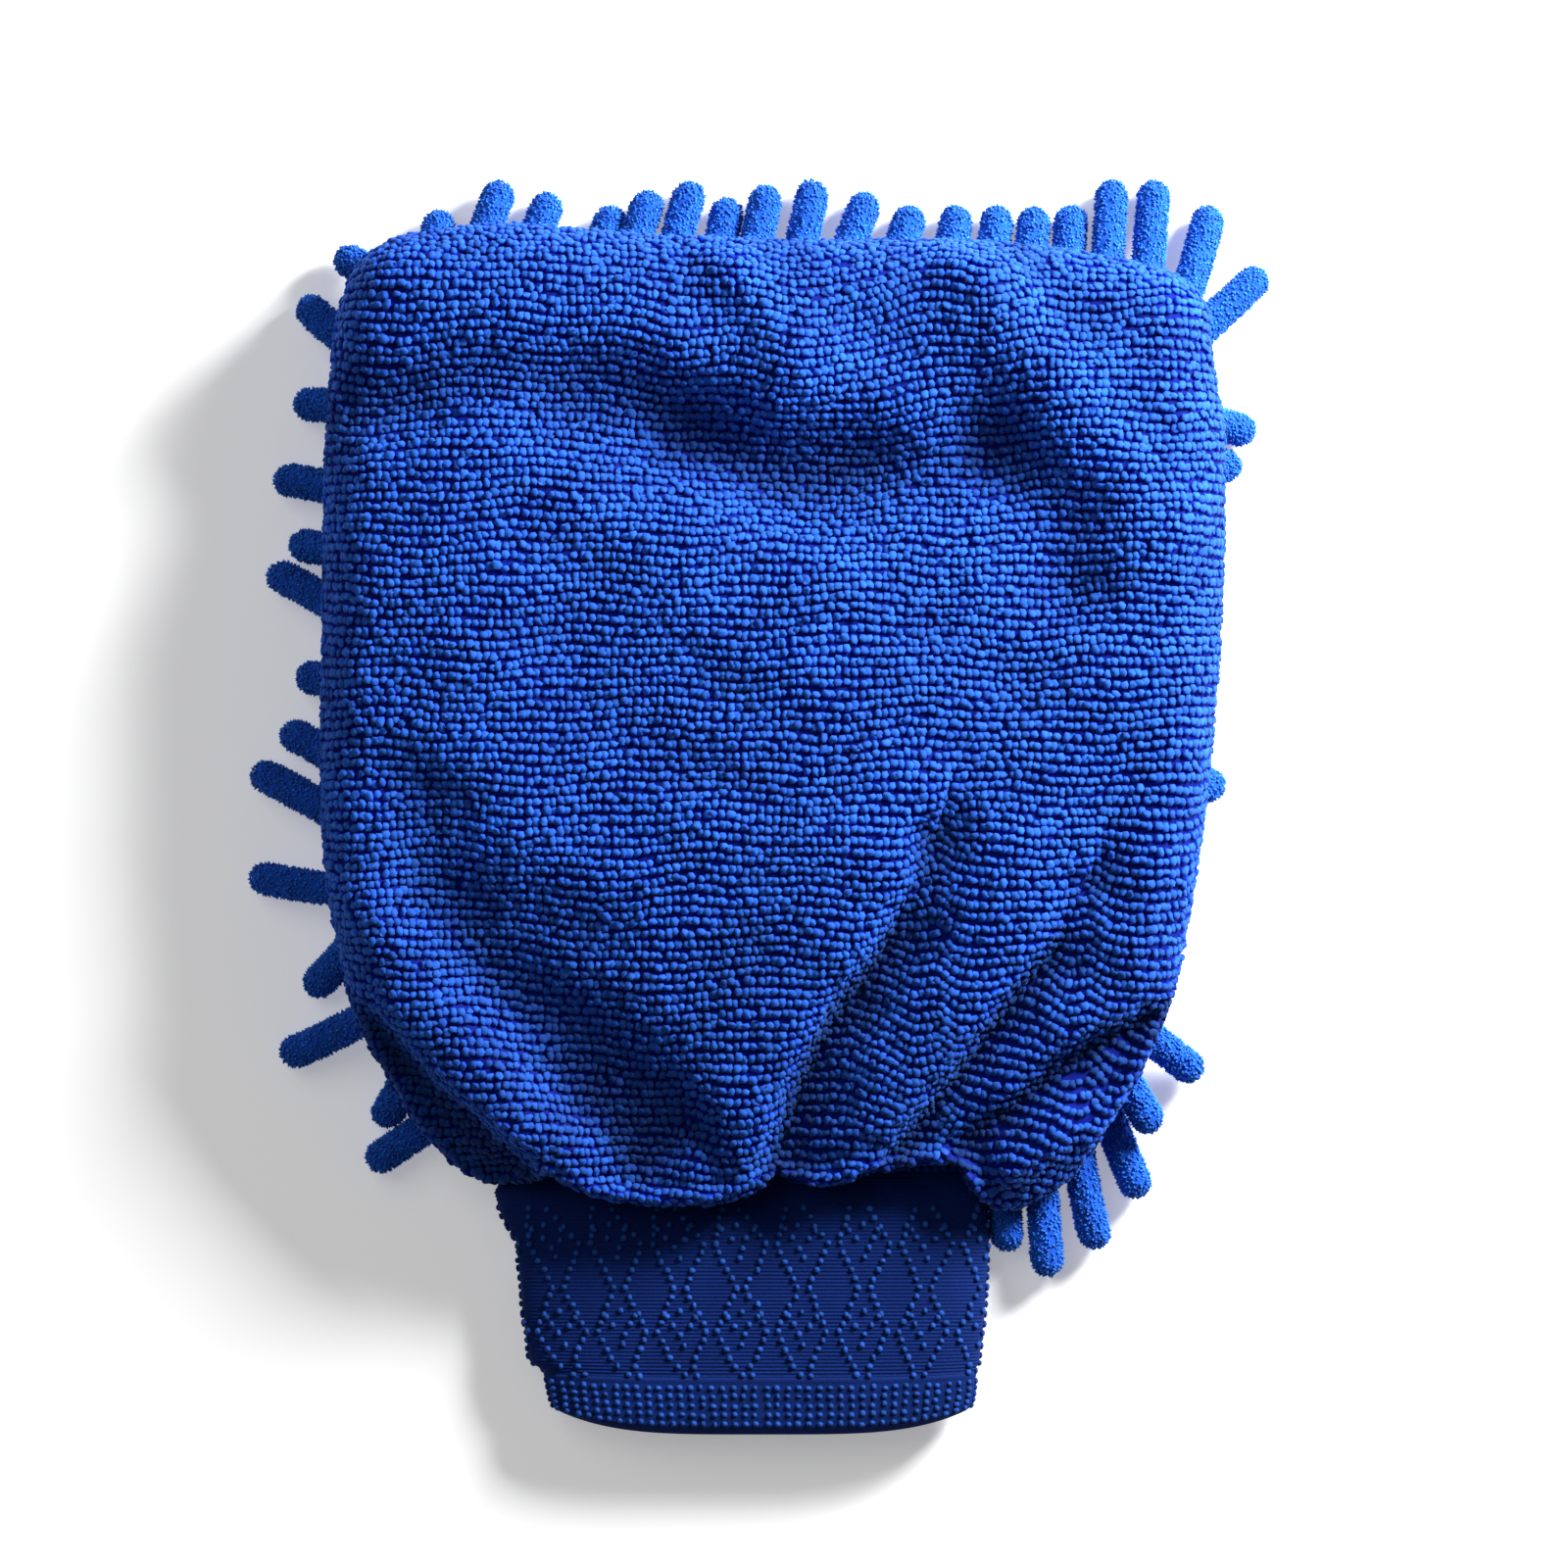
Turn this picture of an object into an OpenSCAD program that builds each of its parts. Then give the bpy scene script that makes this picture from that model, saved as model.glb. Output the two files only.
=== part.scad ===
// Wash mitt: a microfibre terry face, a palm of chenille noodles and a knitted elastic cuff.
// It lies noodles down. +Y points to the fingertips and +Z out of the terry face.
// The origin is below the middle of the object's box, on the surface that it lies on.
// A noodle is [root x, root y, tip x, tip y, root z, tip z], at its axis.

/* [Chenille noodles] */
// Diameter of one noodle
noodle_d = 6.8; // [6:0.2:6.8]
// Distance from one stitched row to the next
row_pitch = 11; // [10.9:0.1:11]
// Distance between two noodles of one row
noodle_pitch = 14.8; // [14.2:0.1:14.8]
// How far a noodle of a row lies along the palm from its root
noodle_reach = 15.6; // [12:0.2:15.6]
// Radius of the stitched neck that holds a noodle
neck_r = 1.8; // [1.2:0.1:2.4]

/* [Body] */
// Wall of the terry cloth with its loops
terry_wall = 2.5; // [2:0.1:3]
// Height of the palm's underside above the resting surface
palm_z = 13; // [13:0.1:13.4]
// Thickness of the mesh that the noodles are stitched to
mesh_wall = 1.2; // [0.8:0.1:1.2]
// Thickness of the lining over the stitches
lining_wall = 0.6; // [0.4:0.1:0.7]
// Width of the folded seam allowance round the hand pocket
seam_w = 4; // [3:0.5:4.5]

/* [Cuff] */
// Where the cuff folds, along Y
fold_y = -76.8; // [-77:0.1:-76.8]
// Half of the clear gap at the fold
fold_gap = 2.2; // [2.2:0.1:2.5]
// Where the plies end and the hem band starts, along Y
hem_y = -116.5; // [-117:0.1:-116]
// Where the hem band ends, along Y
mouth_y = -128.7; // [-128.7:0.1:-128.5]
// Wall of one knitted ply
ply_wall = 1.1; // [0.9:0.1:1.1]
// Space between the plies, where the elastic lies
elastic_gap = 0.6; // [0.5:0.1:0.7]
// Number of elastic courses
elastic_count = 7; // [4:1:9]

/* [Hidden] */

ROYAL = [0.10, 0.29, 0.74];
NOODLE = [0.16, 0.47, 0.88];
NAVY = [0.08, 0.20, 0.50];
LINING = [0.11, 0.24, 0.58];

r = noodle_d / 2;
gap = 0.05;
root_z = palm_z - r - 0.3;
mesh_top = palm_z + mesh_wall;
seam_top = mesh_top + 1.2;
ACROSS = 28;
AROUND = 48;
END_STEPS = 5;
SQUARE = 0.7;
FLAT = 0.55;
NECK_Y = -73;
TIP_Y = 118.4;

// Stations of the terry face: [y, left x, right x, height of the dome, foot z].
FACE = [
    [NECK_Y, -47.6, 45.2, 5.6, 5.5], [-72, -52, 50, 7.2, 8.6], [-70, -60, 60, 9.4, 9.8],
    [-66, -66, 68, 13.2, 12.4], [-60, -72, 74.5, 16.6, 14.2], [-52, -78, 80, 18.2, seam_top],
    [-45, -80.8, 82.4, 19, seam_top], [-30, -85, 86.5, 19, seam_top],
    [-15, -88.5, 89, 18.2, seam_top], [5, -90, 91.8, 17.4, seam_top],
    [35, -90, 95, 17, seam_top], [75, -89.2, 95.5, 16.6, seam_top],
    [95, -87.5, 93.5, 15.6, seam_top], [105, -85.5, 91.8, 14, seam_top],
    [111, -82.5, 87.5, 11.5, seam_top], [115, -77, 81, 8, seam_top],
    [117.4, -70, 74, 4, seam_top], [TIP_Y, -64, 68, 1, seam_top]
];
// Stations of the palm: [y, left x, right x, depth of the trough, z of its edges].
PALM = [
    [NECK_Y, -47, 44.6, 3.1, 5.4], [-72, -49, 47, 3.4, 8.4], [-70, -51, 50, 3.6, 9.4],
    [-66, -65, 67, 3.2, 11.9], [-60, -71, 73.5, 1, 13.4], [-52, -77, 79, 0, mesh_top],
    [-45, -79.8, 81.4, 0, mesh_top], [-30, -84, 85.5, 0, mesh_top],
    [-15, -87.5, 88, 0, mesh_top], [5, -89, 90.8, 0, mesh_top],
    [35, -89, 94, 0, mesh_top], [75, -88.2, 94.5, 0, mesh_top],
    [95, -86.5, 92.5, 0, mesh_top], [105, -84.5, 90.8, 0, mesh_top],
    [111, -81.5, 86.5, 0, mesh_top], [114.2, -76, 80, 0, mesh_top],
    [116.4, -69, 73, 0, mesh_top], [117.2, -64, 68, 0, mesh_top]
];
// Stations of the cuff from its mouth to the fold: [y, middle x, half width, half height].
HEM = [
    [mouth_y, 0.3, 42.4, 5.4], [-125, 0.3, 43.2, 5.4], [-120, 0.2, 43.6, 5.4], [hem_y, 0, 43.8, 5.4]
];
PLY = [
    [hem_y, 0, 43.8, 5.4], [-114, -1.2, 46, 5.4], [-104, -1.3, 47.2, 5.4],
    [-92, -1.3, 48.2, 5.4], [fold_y - fold_gap - 4, -1.2, 48.2, 5], [fold_y - fold_gap, -1.2, 46.8, 3.6]
];
CUFF_Z = 5.4;

TOP_RIM = [
    [-68, 102, -66, 119, root_z, 3.6], [-60, 108, -53.9, 125.1, root_z, 4],
    [-52, 107.5, -44.2, 122.8, root_z, r], [-37, 104, -31, 120, root_z, r],
    [-28.5, 104, -23, 123, root_z, 4.2], [-19.5, 104, -14.5, 125, root_z, r],
    [-11.2, 104, -7, 121.6, root_z, r], [-3, 106, 1, 124.2, root_z, 4.4],
    [4.6, 104, 10.4, 125.3, root_z, 4], [13, 105, 21, 122.8, root_z, r],
    [25, 104, 30.5, 120, root_z, r], [36, 104, 40, 120, root_z, r],
    [45, 104, 48.4, 120, root_z, r], [54, 104, 56.2, 119.7, root_z, r],
    [63, 104, 64, 120, root_z, r], [71, 105, 72.4, 125.3, root_z, r],
    [79.2, 106, 81, 125.2, root_z, r], [87, 104.5, 91.8, 120, root_z, r],
    [87.5, 95, 101.1, 107.6, root_z, r]
];
LEFT_RIM = [
    [-75.6, 107.2, -83.8, 112, root_z, 4.4], [-80, 92, -91.6, 101.8, root_z, r],
    [-82, 82, -92, 82.8, root_z, 4], [-81.8, 64, -96.2, 67, root_z, r],
    [-82, 52.4, -93, 53.8, root_z, r], [-82, 38, -97.6, 47, root_z, r],
    [-82, 26.4, -91.6, 26.8, root_z, r], [-82, 6.2, -95, 14.2, root_z, r],
    [-82, -4.4, -101, 6, root_z, r], [-81.8, -17, -101.1, -14.6, root_z, r]
];
RIGHT_RIM = [
    [85.6, 81, 98.3, 77.8, root_z, 3.6], [84.6, 67.6, 95.4, 70, root_z, r],
    [83, 54, 90, 56, root_z, r], [83, 38.4, 90.2, 38, root_z, r],
    [83, 21, 89.4, 19.6, root_z, r], [82, 2, 92, 4.6, root_z, r],
    [82, -14, 85, -18.6, root_z, r]
];
LOWER_LEFT_RIM = [
    [-81.4, -25.6, -90.2, -35.4, root_z, r], [-78.6, -41.4, -95, -49.8, root_z, r],
    [-70.4, -50, -76.4, -62, 8, r], [-63.8, -63, -77.2, -71.6, r, r]
];
LOWER_RIGHT_RIM = [
    [75.6, -44, 87.6, -53, root_z, 4.4], [71, -50.6, 79, -63.2, root_z, 8.6],
    [70.2, -59.8, 77, -76.6, r, r], [64.8, -65.2, 68.8, -87, r, r],
    [57.9, -67, 59.2, -92.6, r, r], [50.9, -69, 50.9, -87.4, r, r]
];

// Power that keeps the sign of v.
function signed_pow(v, e) = sign(v) * pow(abs(v), e);

// The last station that starts at or before y.
function station_at(list, y) = max([for (i = [0 : len(list) - 2]) if (list[i][0] <= y) i]);

// The station between two of a list's, in a straight line between them.
function between(list, y) =
    let (
        i = station_at(list, y),
        t = (y - list[i][0]) / (list[i + 1][0] - list[i][0])
    )
    list[i] * (1 - t) + list[i + 1] * t;

// Underside of the palm over the point x, y.
function palm_under(x, y) =
    let (
        s = between(PALM, y),
        across = min(1, abs(x - (s[1] + s[2]) / 2) / ((s[2] - s[1]) / 2)),
        rise = sqrt(max(0, 1 - pow(across, 2 / SQUARE)))
    )
    s[4] - s[3] * pow(rise, SQUARE) - mesh_wall;

// One row of points across the dome of the face, inset by a wall.
function dome_row(s, wall) =
    let (back = wall * pow((s[0] - NECK_Y) / (TIP_Y - NECK_Y), 8))
    [for (i = [0 : ACROSS])
        let (f = 180 * i / ACROSS)
        [
            (s[1] + s[2]) / 2 - ((s[2] - s[1]) / 2 - wall) * signed_pow(cos(f), SQUARE),
            s[0] - back,
            s[4] + max(0, s[3] - wall) * pow(sin(f), SQUARE)
        ]];

// One row of points across the palm's trough, inset at its edges and lifted.
function trough_row(s, inset, lift) =
    [for (i = [0 : ACROSS])
        let (f = 180 * i / ACROSS)
        [
            (s[1] + s[2]) / 2 - ((s[2] - s[1]) / 2 - inset) * signed_pow(cos(f), SQUARE),
            min(s[0], TIP_Y - inset),
            s[4] + lift - s[3] * pow(sin(f), SQUARE)
        ]];

// How far the ends of a course lie behind its middle, so that the mouth is bowed.
function bow(y) = 4.6 * pow(max(0, -108 - y) / (-108 - mouth_y), 2);

// One ring of points round the flattened cuff, inset by a wall.
function cuff_row(s, inset) =
    [for (i = [0 : AROUND - 1])
        let (
            f = 360 * i / AROUND,
            side = signed_pow(cos(f), FLAT)
        )
        [
            s[1] - (s[2] - inset) * side,
            s[0] + bow(s[0]) * pow(side, 4),
            CUFF_Z + (s[3] - inset) * signed_pow(sin(f), FLAT)
        ]];

// Closed shell between two grids of rows. Rows follow +Y, and points follow +X over the top.
// A ring shell also joins each row's last point to its first.
module shell(outer, inner, ring = false) {
    rows = len(outer);
    cols = len(outer[0]);
    layer = rows * cols;
    points = [for (grid = [outer, inner]) for (row = grid) for (p = row) p];
    spans = ring ? cols - 1 : cols - 2;
    function at(side, j, i) = side * layer + j * cols + i % cols;
    skins = [for (j = [0 : rows - 2]) for (i = [0 : spans]) each [
        [at(0, j, i), at(0, j + 1, i), at(0, j + 1, i + 1)],
        [at(0, j, i), at(0, j + 1, i + 1), at(0, j, i + 1)],
        [at(1, j, i), at(1, j + 1, i + 1), at(1, j + 1, i)],
        [at(1, j, i), at(1, j, i + 1), at(1, j + 1, i + 1)]
    ]];
    ends = [for (i = [0 : spans]) each [
        [at(0, 0, i), at(0, 0, i + 1), at(1, 0, i + 1)],
        [at(0, 0, i), at(1, 0, i + 1), at(1, 0, i)],
        [at(0, rows - 1, i + 1), at(0, rows - 1, i), at(1, rows - 1, i)],
        [at(0, rows - 1, i + 1), at(1, rows - 1, i), at(1, rows - 1, i + 1)]
    ]];
    edges = ring ? [] : [for (j = [0 : rows - 2]) each [
        [at(0, j + 1, 0), at(0, j, 0), at(1, j, 0)],
        [at(0, j + 1, 0), at(1, j, 0), at(1, j + 1, 0)],
        [at(0, j, cols - 1), at(0, j + 1, cols - 1), at(1, j + 1, cols - 1)],
        [at(0, j, cols - 1), at(1, j + 1, cols - 1), at(1, j, cols - 1)]
    ]];
    polyhedron(points, concat(skins, ends, edges));
}

// Half of a round-ended noodle's outline, from its root along its axis.
function capsule_line(run) = concat(
    [for (i = [0 : END_STEPS]) let (f = 90 * i / END_STEPS) [r * sin(f), -r * cos(f)]],
    [for (i = [0 : END_STEPS]) let (f = 90 * i / END_STEPS) [r * cos(f), run + r * sin(f)]]
);

// A straight noodle with round ends, and the stitched neck that holds its root.
module noodle(n) {
    root = [n[0], n[1], n[4]];
    tip = [n[2], n[3], n[5]];
    run = tip - root;
    lean = acos(run[2] / norm(run));
    turn = atan2(run[1], run[0]);
    translate(root) rotate([0, lean, turn]) rotate_extrude($fn = 24) polygon(capsule_line(norm(run)));
    neck = palm_under(n[0], n[1]) - gap - 0.3 - root[2];
    translate(root) cylinder(r = neck_r, h = neck, $fn = 24);
}

// A row of noodles on one stitched tape. Odd rows have one noodle more and are staggered.
module noodle_row(y, count, reach, tip_z) {
    half = (count - 1) / 2;
    for (i = [-half : half]) {
        noodle([i * noodle_pitch, y, i * noodle_pitch, y + reach, root_z, tip_z]);
    }
    translate([-half * noodle_pitch - r, y - 2.5, palm_z - 0.6])
        cube([2 * (half * noodle_pitch + r), 5, 0.6 - gap]);
}

module chenille_row(number) {
    color(NOODLE) noodle_row(-31 + (number - 1) * row_pitch, 10 + number % 2, noodle_reach, r);
}

module chenille_row_wrist() {
    color(NOODLE) noodle_row(-42.4, 9, -13.6, r);
}

module rim_noodles(list) {
    color(NOODLE) for (n = list) noodle(n);
}

module terry_face() {
    color(ROYAL) shell([for (s = FACE) dome_row(s, 0)], [for (s = FACE) dome_row(s, terry_wall)]);
}

module chenille_mesh() {
    color(NAVY) shell([for (s = PALM) trough_row(s, 0, 0)], [for (s = PALM) trough_row(s, 0, -mesh_wall)]);
}

module palm_lining() {
    inset = seam_w + 2;
    main = [for (s = PALM) if (s[0] >= -60 && s[0] < TIP_Y - inset) s];
    color(LINING) shell(
        [for (s = main) trough_row(s, inset, lining_wall + gap)],
        [for (s = main) trough_row(s, inset, gap)]
    );
}

// The folded seam allowance lies between the face's foot and the mesh, open towards the wrist.
module pocket_seam() {
    sides = [for (s = FACE) if (s[0] >= -45 && s[0] < TIP_Y) s];
    last = len(sides) - 1;
    function side_line(inset) = concat(
        [for (i = [0 : last]) [sides[i][1] + inset, min(sides[i][0], TIP_Y - inset)]],
        [for (i = [last : -1 : 0]) [sides[i][2] - inset, min(sides[i][0], TIP_Y - inset)]]
    );
    inner = side_line(1.2 + seam_w);
    color(ROYAL) translate([0, 0, mesh_top + gap])
        linear_extrude(seam_top - mesh_top - 2 * gap)
            polygon(concat(side_line(1.2), [for (i = [len(inner) - 1 : -1 : 0]) inner[i]]));
}

// The gathered cloth and the cuff are overlocked together in this ring.
module wrist_seam() {
    function ring_line(inset) = [for (i = [0 : AROUND - 1])
        let (f = 360 * i / AROUND)
        [
            -1.2 - (46.4 - inset) * signed_pow(cos(f), FLAT),
            CUFF_Z + (5.4 - inset) * signed_pow(sin(f), FLAT)
        ]];
    color(NAVY) translate([0, NECK_Y - gap, 0]) rotate([90, 0, 0])
        linear_extrude(NECK_Y - 2 * gap - fold_y - fold_gap)
            difference() {
                polygon(ring_line(0));
                polygon(ring_line(2.8));
            }
}

module cuff_outer_ply() {
    color(NAVY) shell([for (s = PLY) cuff_row(s, 0)], [for (s = PLY) cuff_row(s, ply_wall)], true);
}

// The inner ply starts behind the fold, where the outer ply has its full height.
module cuff_inner_ply() {
    start = ply_wall + elastic_gap;
    plies = [for (s = PLY) if (s[0] < fold_y - fold_gap - 1) s];
    color(LINING) shell(
        [for (s = plies) cuff_row(s, start)],
        [for (s = plies) cuff_row(s, start + ply_wall)],
        true
    );
}

// Flat courses of elastic yarn lie in the space between the plies.
module cuff_elastic() {
    step = 4.4;
    width = 1.6;
    course_gap = 0.1;
    function course(y, inset) = cuff_row(between(PLY, y), inset);
    color("white") for (i = [0 : elastic_count - 1]) {
        y = hem_y + 3 + i * step;
        shell(
            [for (side = [0, width]) course(y + side, ply_wall + course_gap)],
            [for (side = [0, width]) course(y + side, ply_wall + elastic_gap - course_gap)],
            true
        );
    }
}

module cuff_hem_band() {
    wall = 2 * ply_wall + elastic_gap;
    color(NAVY) shell([for (s = HEM) cuff_row(s, 0)], [for (s = HEM) cuff_row(s, wall)], true);
}

terry_face();
palm_lining();
chenille_mesh();
pocket_seam();
wrist_seam();
cuff_outer_ply();
cuff_inner_ply();
cuff_elastic();
cuff_hem_band();
chenille_row(1);  // chenille_row_01
chenille_row(2);  // chenille_row_02
chenille_row(3);  // chenille_row_03
chenille_row(4);  // chenille_row_04
chenille_row(5);  // chenille_row_05
chenille_row(6);  // chenille_row_06
chenille_row(7);  // chenille_row_07
chenille_row(8);  // chenille_row_08
chenille_row(9);  // chenille_row_09
chenille_row(10);  // chenille_row_10
chenille_row(11);  // chenille_row_11
chenille_row_wrist();
rim_noodles(TOP_RIM);  // rim_noodles_top
rim_noodles(LEFT_RIM);  // rim_noodles_left
rim_noodles(RIGHT_RIM);  // rim_noodles_right
rim_noodles(LOWER_LEFT_RIM);  // rim_noodles_lower_left
rim_noodles(LOWER_RIGHT_RIM);  // rim_noodles_lower_right
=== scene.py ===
"""The looks of the wash mitt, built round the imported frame.

The mitt lies noodles down. +Y points to the fingertips and +Z out of the terry face. Every shape is
worked out in millimetres as whole numpy arrays and is scaled to metres when its mesh is made.
"""

from __future__ import annotations

import logging
from dataclasses import dataclass, field
from enum import Enum

import bpy
import numpy as np
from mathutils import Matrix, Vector

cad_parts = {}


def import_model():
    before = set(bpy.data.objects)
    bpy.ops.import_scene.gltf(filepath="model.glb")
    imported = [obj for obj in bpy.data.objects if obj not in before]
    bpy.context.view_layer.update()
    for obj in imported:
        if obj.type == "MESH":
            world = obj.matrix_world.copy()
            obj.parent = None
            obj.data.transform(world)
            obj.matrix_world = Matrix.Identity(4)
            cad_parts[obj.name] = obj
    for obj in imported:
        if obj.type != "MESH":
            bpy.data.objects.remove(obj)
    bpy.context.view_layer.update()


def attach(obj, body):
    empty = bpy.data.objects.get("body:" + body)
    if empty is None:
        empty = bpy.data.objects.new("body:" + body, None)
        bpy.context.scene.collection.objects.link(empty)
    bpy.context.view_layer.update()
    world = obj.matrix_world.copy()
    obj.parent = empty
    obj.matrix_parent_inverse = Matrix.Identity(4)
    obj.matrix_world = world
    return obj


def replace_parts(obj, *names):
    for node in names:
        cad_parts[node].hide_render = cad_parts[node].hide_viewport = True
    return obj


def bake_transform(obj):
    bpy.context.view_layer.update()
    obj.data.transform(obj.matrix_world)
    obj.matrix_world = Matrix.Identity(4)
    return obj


LOG = logging.getLogger("wash_mitt")
MM = 0.001
Array = np.ndarray
Point = tuple[float, float]
Colour = tuple[float, float, float]


# ---------------------------------------------------------------- arrays and curves


def ease(value: Array, low: float, high: float) -> Array:
    """Smooth step: 0 at low, 1 at high, 3t^2 - 2t^3 between them.

    Args:
        value: What is stepped.
        low: Where the step starts.
        high: Where it ends. It may be below low, for a step down.

    Returns:
        The step at every value.
    """
    t = np.clip((value - low) / (high - low), 0.0, 1.0)
    return t * t * (3.0 - 2.0 * t)


def signed_power(value: Array, power: float) -> Array:
    """The size of value raised to a power, with the sign that value had."""
    return np.sign(value) * np.abs(value) ** power


def spline(points: list[Point] | Array, per_span: int, closed: bool = False) -> Array:
    """Catmull-Rom curve through given points.

    Each span is the cubic through its two points whose end slopes are half the step between the
    points on either side.

    Args:
        points: The points that the curve passes through.
        per_span: How many samples each span takes.
        closed: Whether the last point joins the first.

    Returns:
        The samples, one row each.
    """
    given = np.asarray(points, float)
    if closed:
        before, after, further = (np.roll(given, shift, 0) for shift in (1, -1, -2))
        start = given
    else:
        padded = np.vstack([2 * given[0] - given[1], given, 2 * given[-1] - given[-2]])
        before, start, after, further = padded[:-3], padded[1:-2], padded[2:-1], padded[3:]
    t = (np.arange(per_span) / per_span)[None, :, None]
    before, start, after, further = (a[:, None, :] for a in (before, start, after, further))
    curve = 0.5 * (
        2 * start
        + (after - before) * t
        + (2 * before - 5 * start + 4 * after - further) * t**2
        + (3 * start - before - 3 * after + further) * t**3
    )
    curve = curve.reshape(-1, given.shape[1])
    return curve if closed else np.vstack([curve, given[-1]])


def even_steps(curve: Array, step: float, closed: bool = False) -> tuple[Array, Array]:
    """Points along a curve at an even step, and the unit tangents there.

    Args:
        curve: The curve's samples.
        step: The wanted distance between points.
        closed: Whether the curve closes.

    Returns:
        The points, and the tangents.
    """
    whole = np.vstack([curve, curve[:1]]) if closed else curve
    run = np.concatenate([[0.0], np.cumsum(np.linalg.norm(np.diff(whole, axis=0), axis=1))])
    count = max(2, int(round(run[-1] / step)))
    at = (np.arange(count) + 0.5) * run[-1] / count
    places = np.stack([np.interp(at, run, whole[:, k]) for k in range(whole.shape[1])], 1)
    ahead = np.stack([np.interp(at + 0.3, run, whole[:, k]) for k in range(whole.shape[1])], 1)
    behind = np.stack([np.interp(at - 0.3, run, whole[:, k]) for k in range(whole.shape[1])], 1)
    tangent = ahead - behind
    return places, tangent / np.linalg.norm(tangent, axis=1, keepdims=True)


def to_path(x: Array, y: Array, path: Array) -> tuple[Array, Array]:
    """Distance from points to a polyline.

    Every point is projected on every segment, and the nearest projection is kept.

    Args:
        x: The points' x.
        y: Their y.
        path: The polyline's corners.

    Returns:
        The distance, positive to the left of the path, and the share of the path's length at the
        nearest place.
    """
    flat = np.stack([x.ravel(), y.ravel()], 1)
    start, along = path[:-1], np.diff(path, axis=0)
    size = (along**2).sum(1)
    run = np.concatenate([[0.0], np.cumsum(np.sqrt(size))])
    away, share = np.empty(len(flat)), np.empty(len(flat))
    for low in range(0, len(flat), 4000):
        part = flat[low : low + 4000]
        offset = part[:, None, :] - start[None]
        t = np.clip((offset * along).sum(-1) / size, 0.0, 1.0)
        gap = offset - t[..., None] * along
        far = (gap**2).sum(-1)
        near = far.argmin(1)
        row = np.arange(len(part))
        side = along[near, 0] * offset[row, near, 1] - along[near, 1] * offset[row, near, 0]
        away[low : low + 4000] = np.sqrt(far[row, near]) * np.where(side < 0, -1.0, 1.0)
        share[low : low + 4000] = (run[near] + t[row, near] * np.sqrt(size[near])) / run[-1]
    return away.reshape(x.shape), share.reshape(x.shape)


def unit(vectors: Array) -> Array:
    """Each vector at length 1."""
    return vectors / np.maximum(np.linalg.norm(vectors, axis=-1, keepdims=True), 1e-12)


# ---------------------------------------------------------------- meshes


@dataclass
class Shape:
    """Vertices in millimetres with their faces, and values that ride on the vertices.

    Attributes:
        verts: One row for each vertex.
        faces: Arrays of faces, a row of corner numbers for each face of the array.
        values: Named numbers, one for each vertex, that materials read.
    """

    verts: Array
    faces: list[Array]
    values: dict[str, Array] = field(default_factory=dict)


def join_shapes(shapes: list[Shape]) -> Shape:
    """One shape of several that hold the same named values.

    Args:
        shapes: The shapes, in the order in which their points are kept.

    Returns:
        All of them as one.
    """
    starts = np.cumsum([0] + [len(s.verts) for s in shapes[:-1]])
    return Shape(
        np.vstack([s.verts for s in shapes]),
        [faces + first for s, first in zip(shapes, starts) for faces in s.faces],
        {n: np.concatenate([s.values[n] for s in shapes]) for n in shapes[0].values},
    )


def grid_faces(rows: int, cols: int, ring: bool = False) -> Array:
    """Quads over a grid of points, row by row, whose normals point along column x row.

    Args:
        rows: How many rows of points.
        cols: How many points in a row.
        ring: Whether each row closes.

    Returns:
        The faces.
    """
    j = np.arange(rows - 1)[:, None]
    i = np.arange(cols if ring else cols - 1)[None, :]
    k = (i + 1) % cols
    quads = (j * cols + i, j * cols + k, (j + 1) * cols + k, (j + 1) * cols + i)
    return np.stack(quads, -1).reshape(-1, 4)


def stamp(unit_shape: Shape, places: Array, axes: Array, sizes: Array, tone_and_painted_shade: Array) -> Shape:
    """Copies of a small shape of one face array, each turned and sized.

    A copy's vertex is its place, plus each coordinate times that copy's size and axis.

    Args:
        unit_shape: The shape that is repeated.
        places: One row for each copy.
        axes: For each copy, its three axes as rows.
        sizes: For each copy, its size along each axis.
        tone_and_painted_shade: For each copy, how bright its dye is: random, and for the terry loops also
            darkened by painted shade.

    Returns:
        All the copies as one shape. Its values are height, the unit shape's third coordinate, and
        tone.
    """
    scaled = unit_shape.verts[None] * sizes[:, None, :]
    verts = places[:, None, :] + np.einsum("nvk,nkc->nvc", scaled, axes)
    count, many = len(unit_shape.verts), len(places)
    faces = unit_shape.faces[0][None] + (np.arange(many) * count)[:, None, None]
    height = np.broadcast_to(unit_shape.verts[:, 2], (many, count)).ravel()
    values = {"height": height, "tone_and_painted_shade": np.repeat(tone_and_painted_shade, count)}
    return Shape(verts.reshape(-1, 3), [faces.reshape(-1, 3)], values)


def bead(sides: int, rings: tuple[Point, ...], top: float, bottom: float) -> Shape:
    """A closed turned shape: rings of points between a pole above and a pole below.

    Args:
        sides: Points in a ring.
        rings: Height and radius of each ring, from the lowest.
        top: Height of the upper pole.
        bottom: Height of the lower pole.

    Returns:
        The shape, as triangles.
    """
    turn = 2 * np.pi * np.arange(sides) / sides
    levels = [np.stack([r * np.cos(turn), r * np.sin(turn), np.full(sides, z)], 1) for z, r in rings]
    verts = np.vstack([*levels, [[0, 0, top]], [[0, 0, bottom]]])
    quads = grid_faces(len(rings), sides, ring=True)
    i = np.arange(sides)
    k = (i + 1) % sides
    last = (len(rings) - 1) * sides
    over = np.stack([last + i, last + k, np.full(sides, len(rings) * sides)], 1)
    under = np.stack([k, i, np.full(sides, len(rings) * sides + 1)], 1)
    return Shape(verts, [np.vstack([quads[:, [0, 1, 2]], quads[:, [0, 2, 3]], over, under])])


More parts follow.
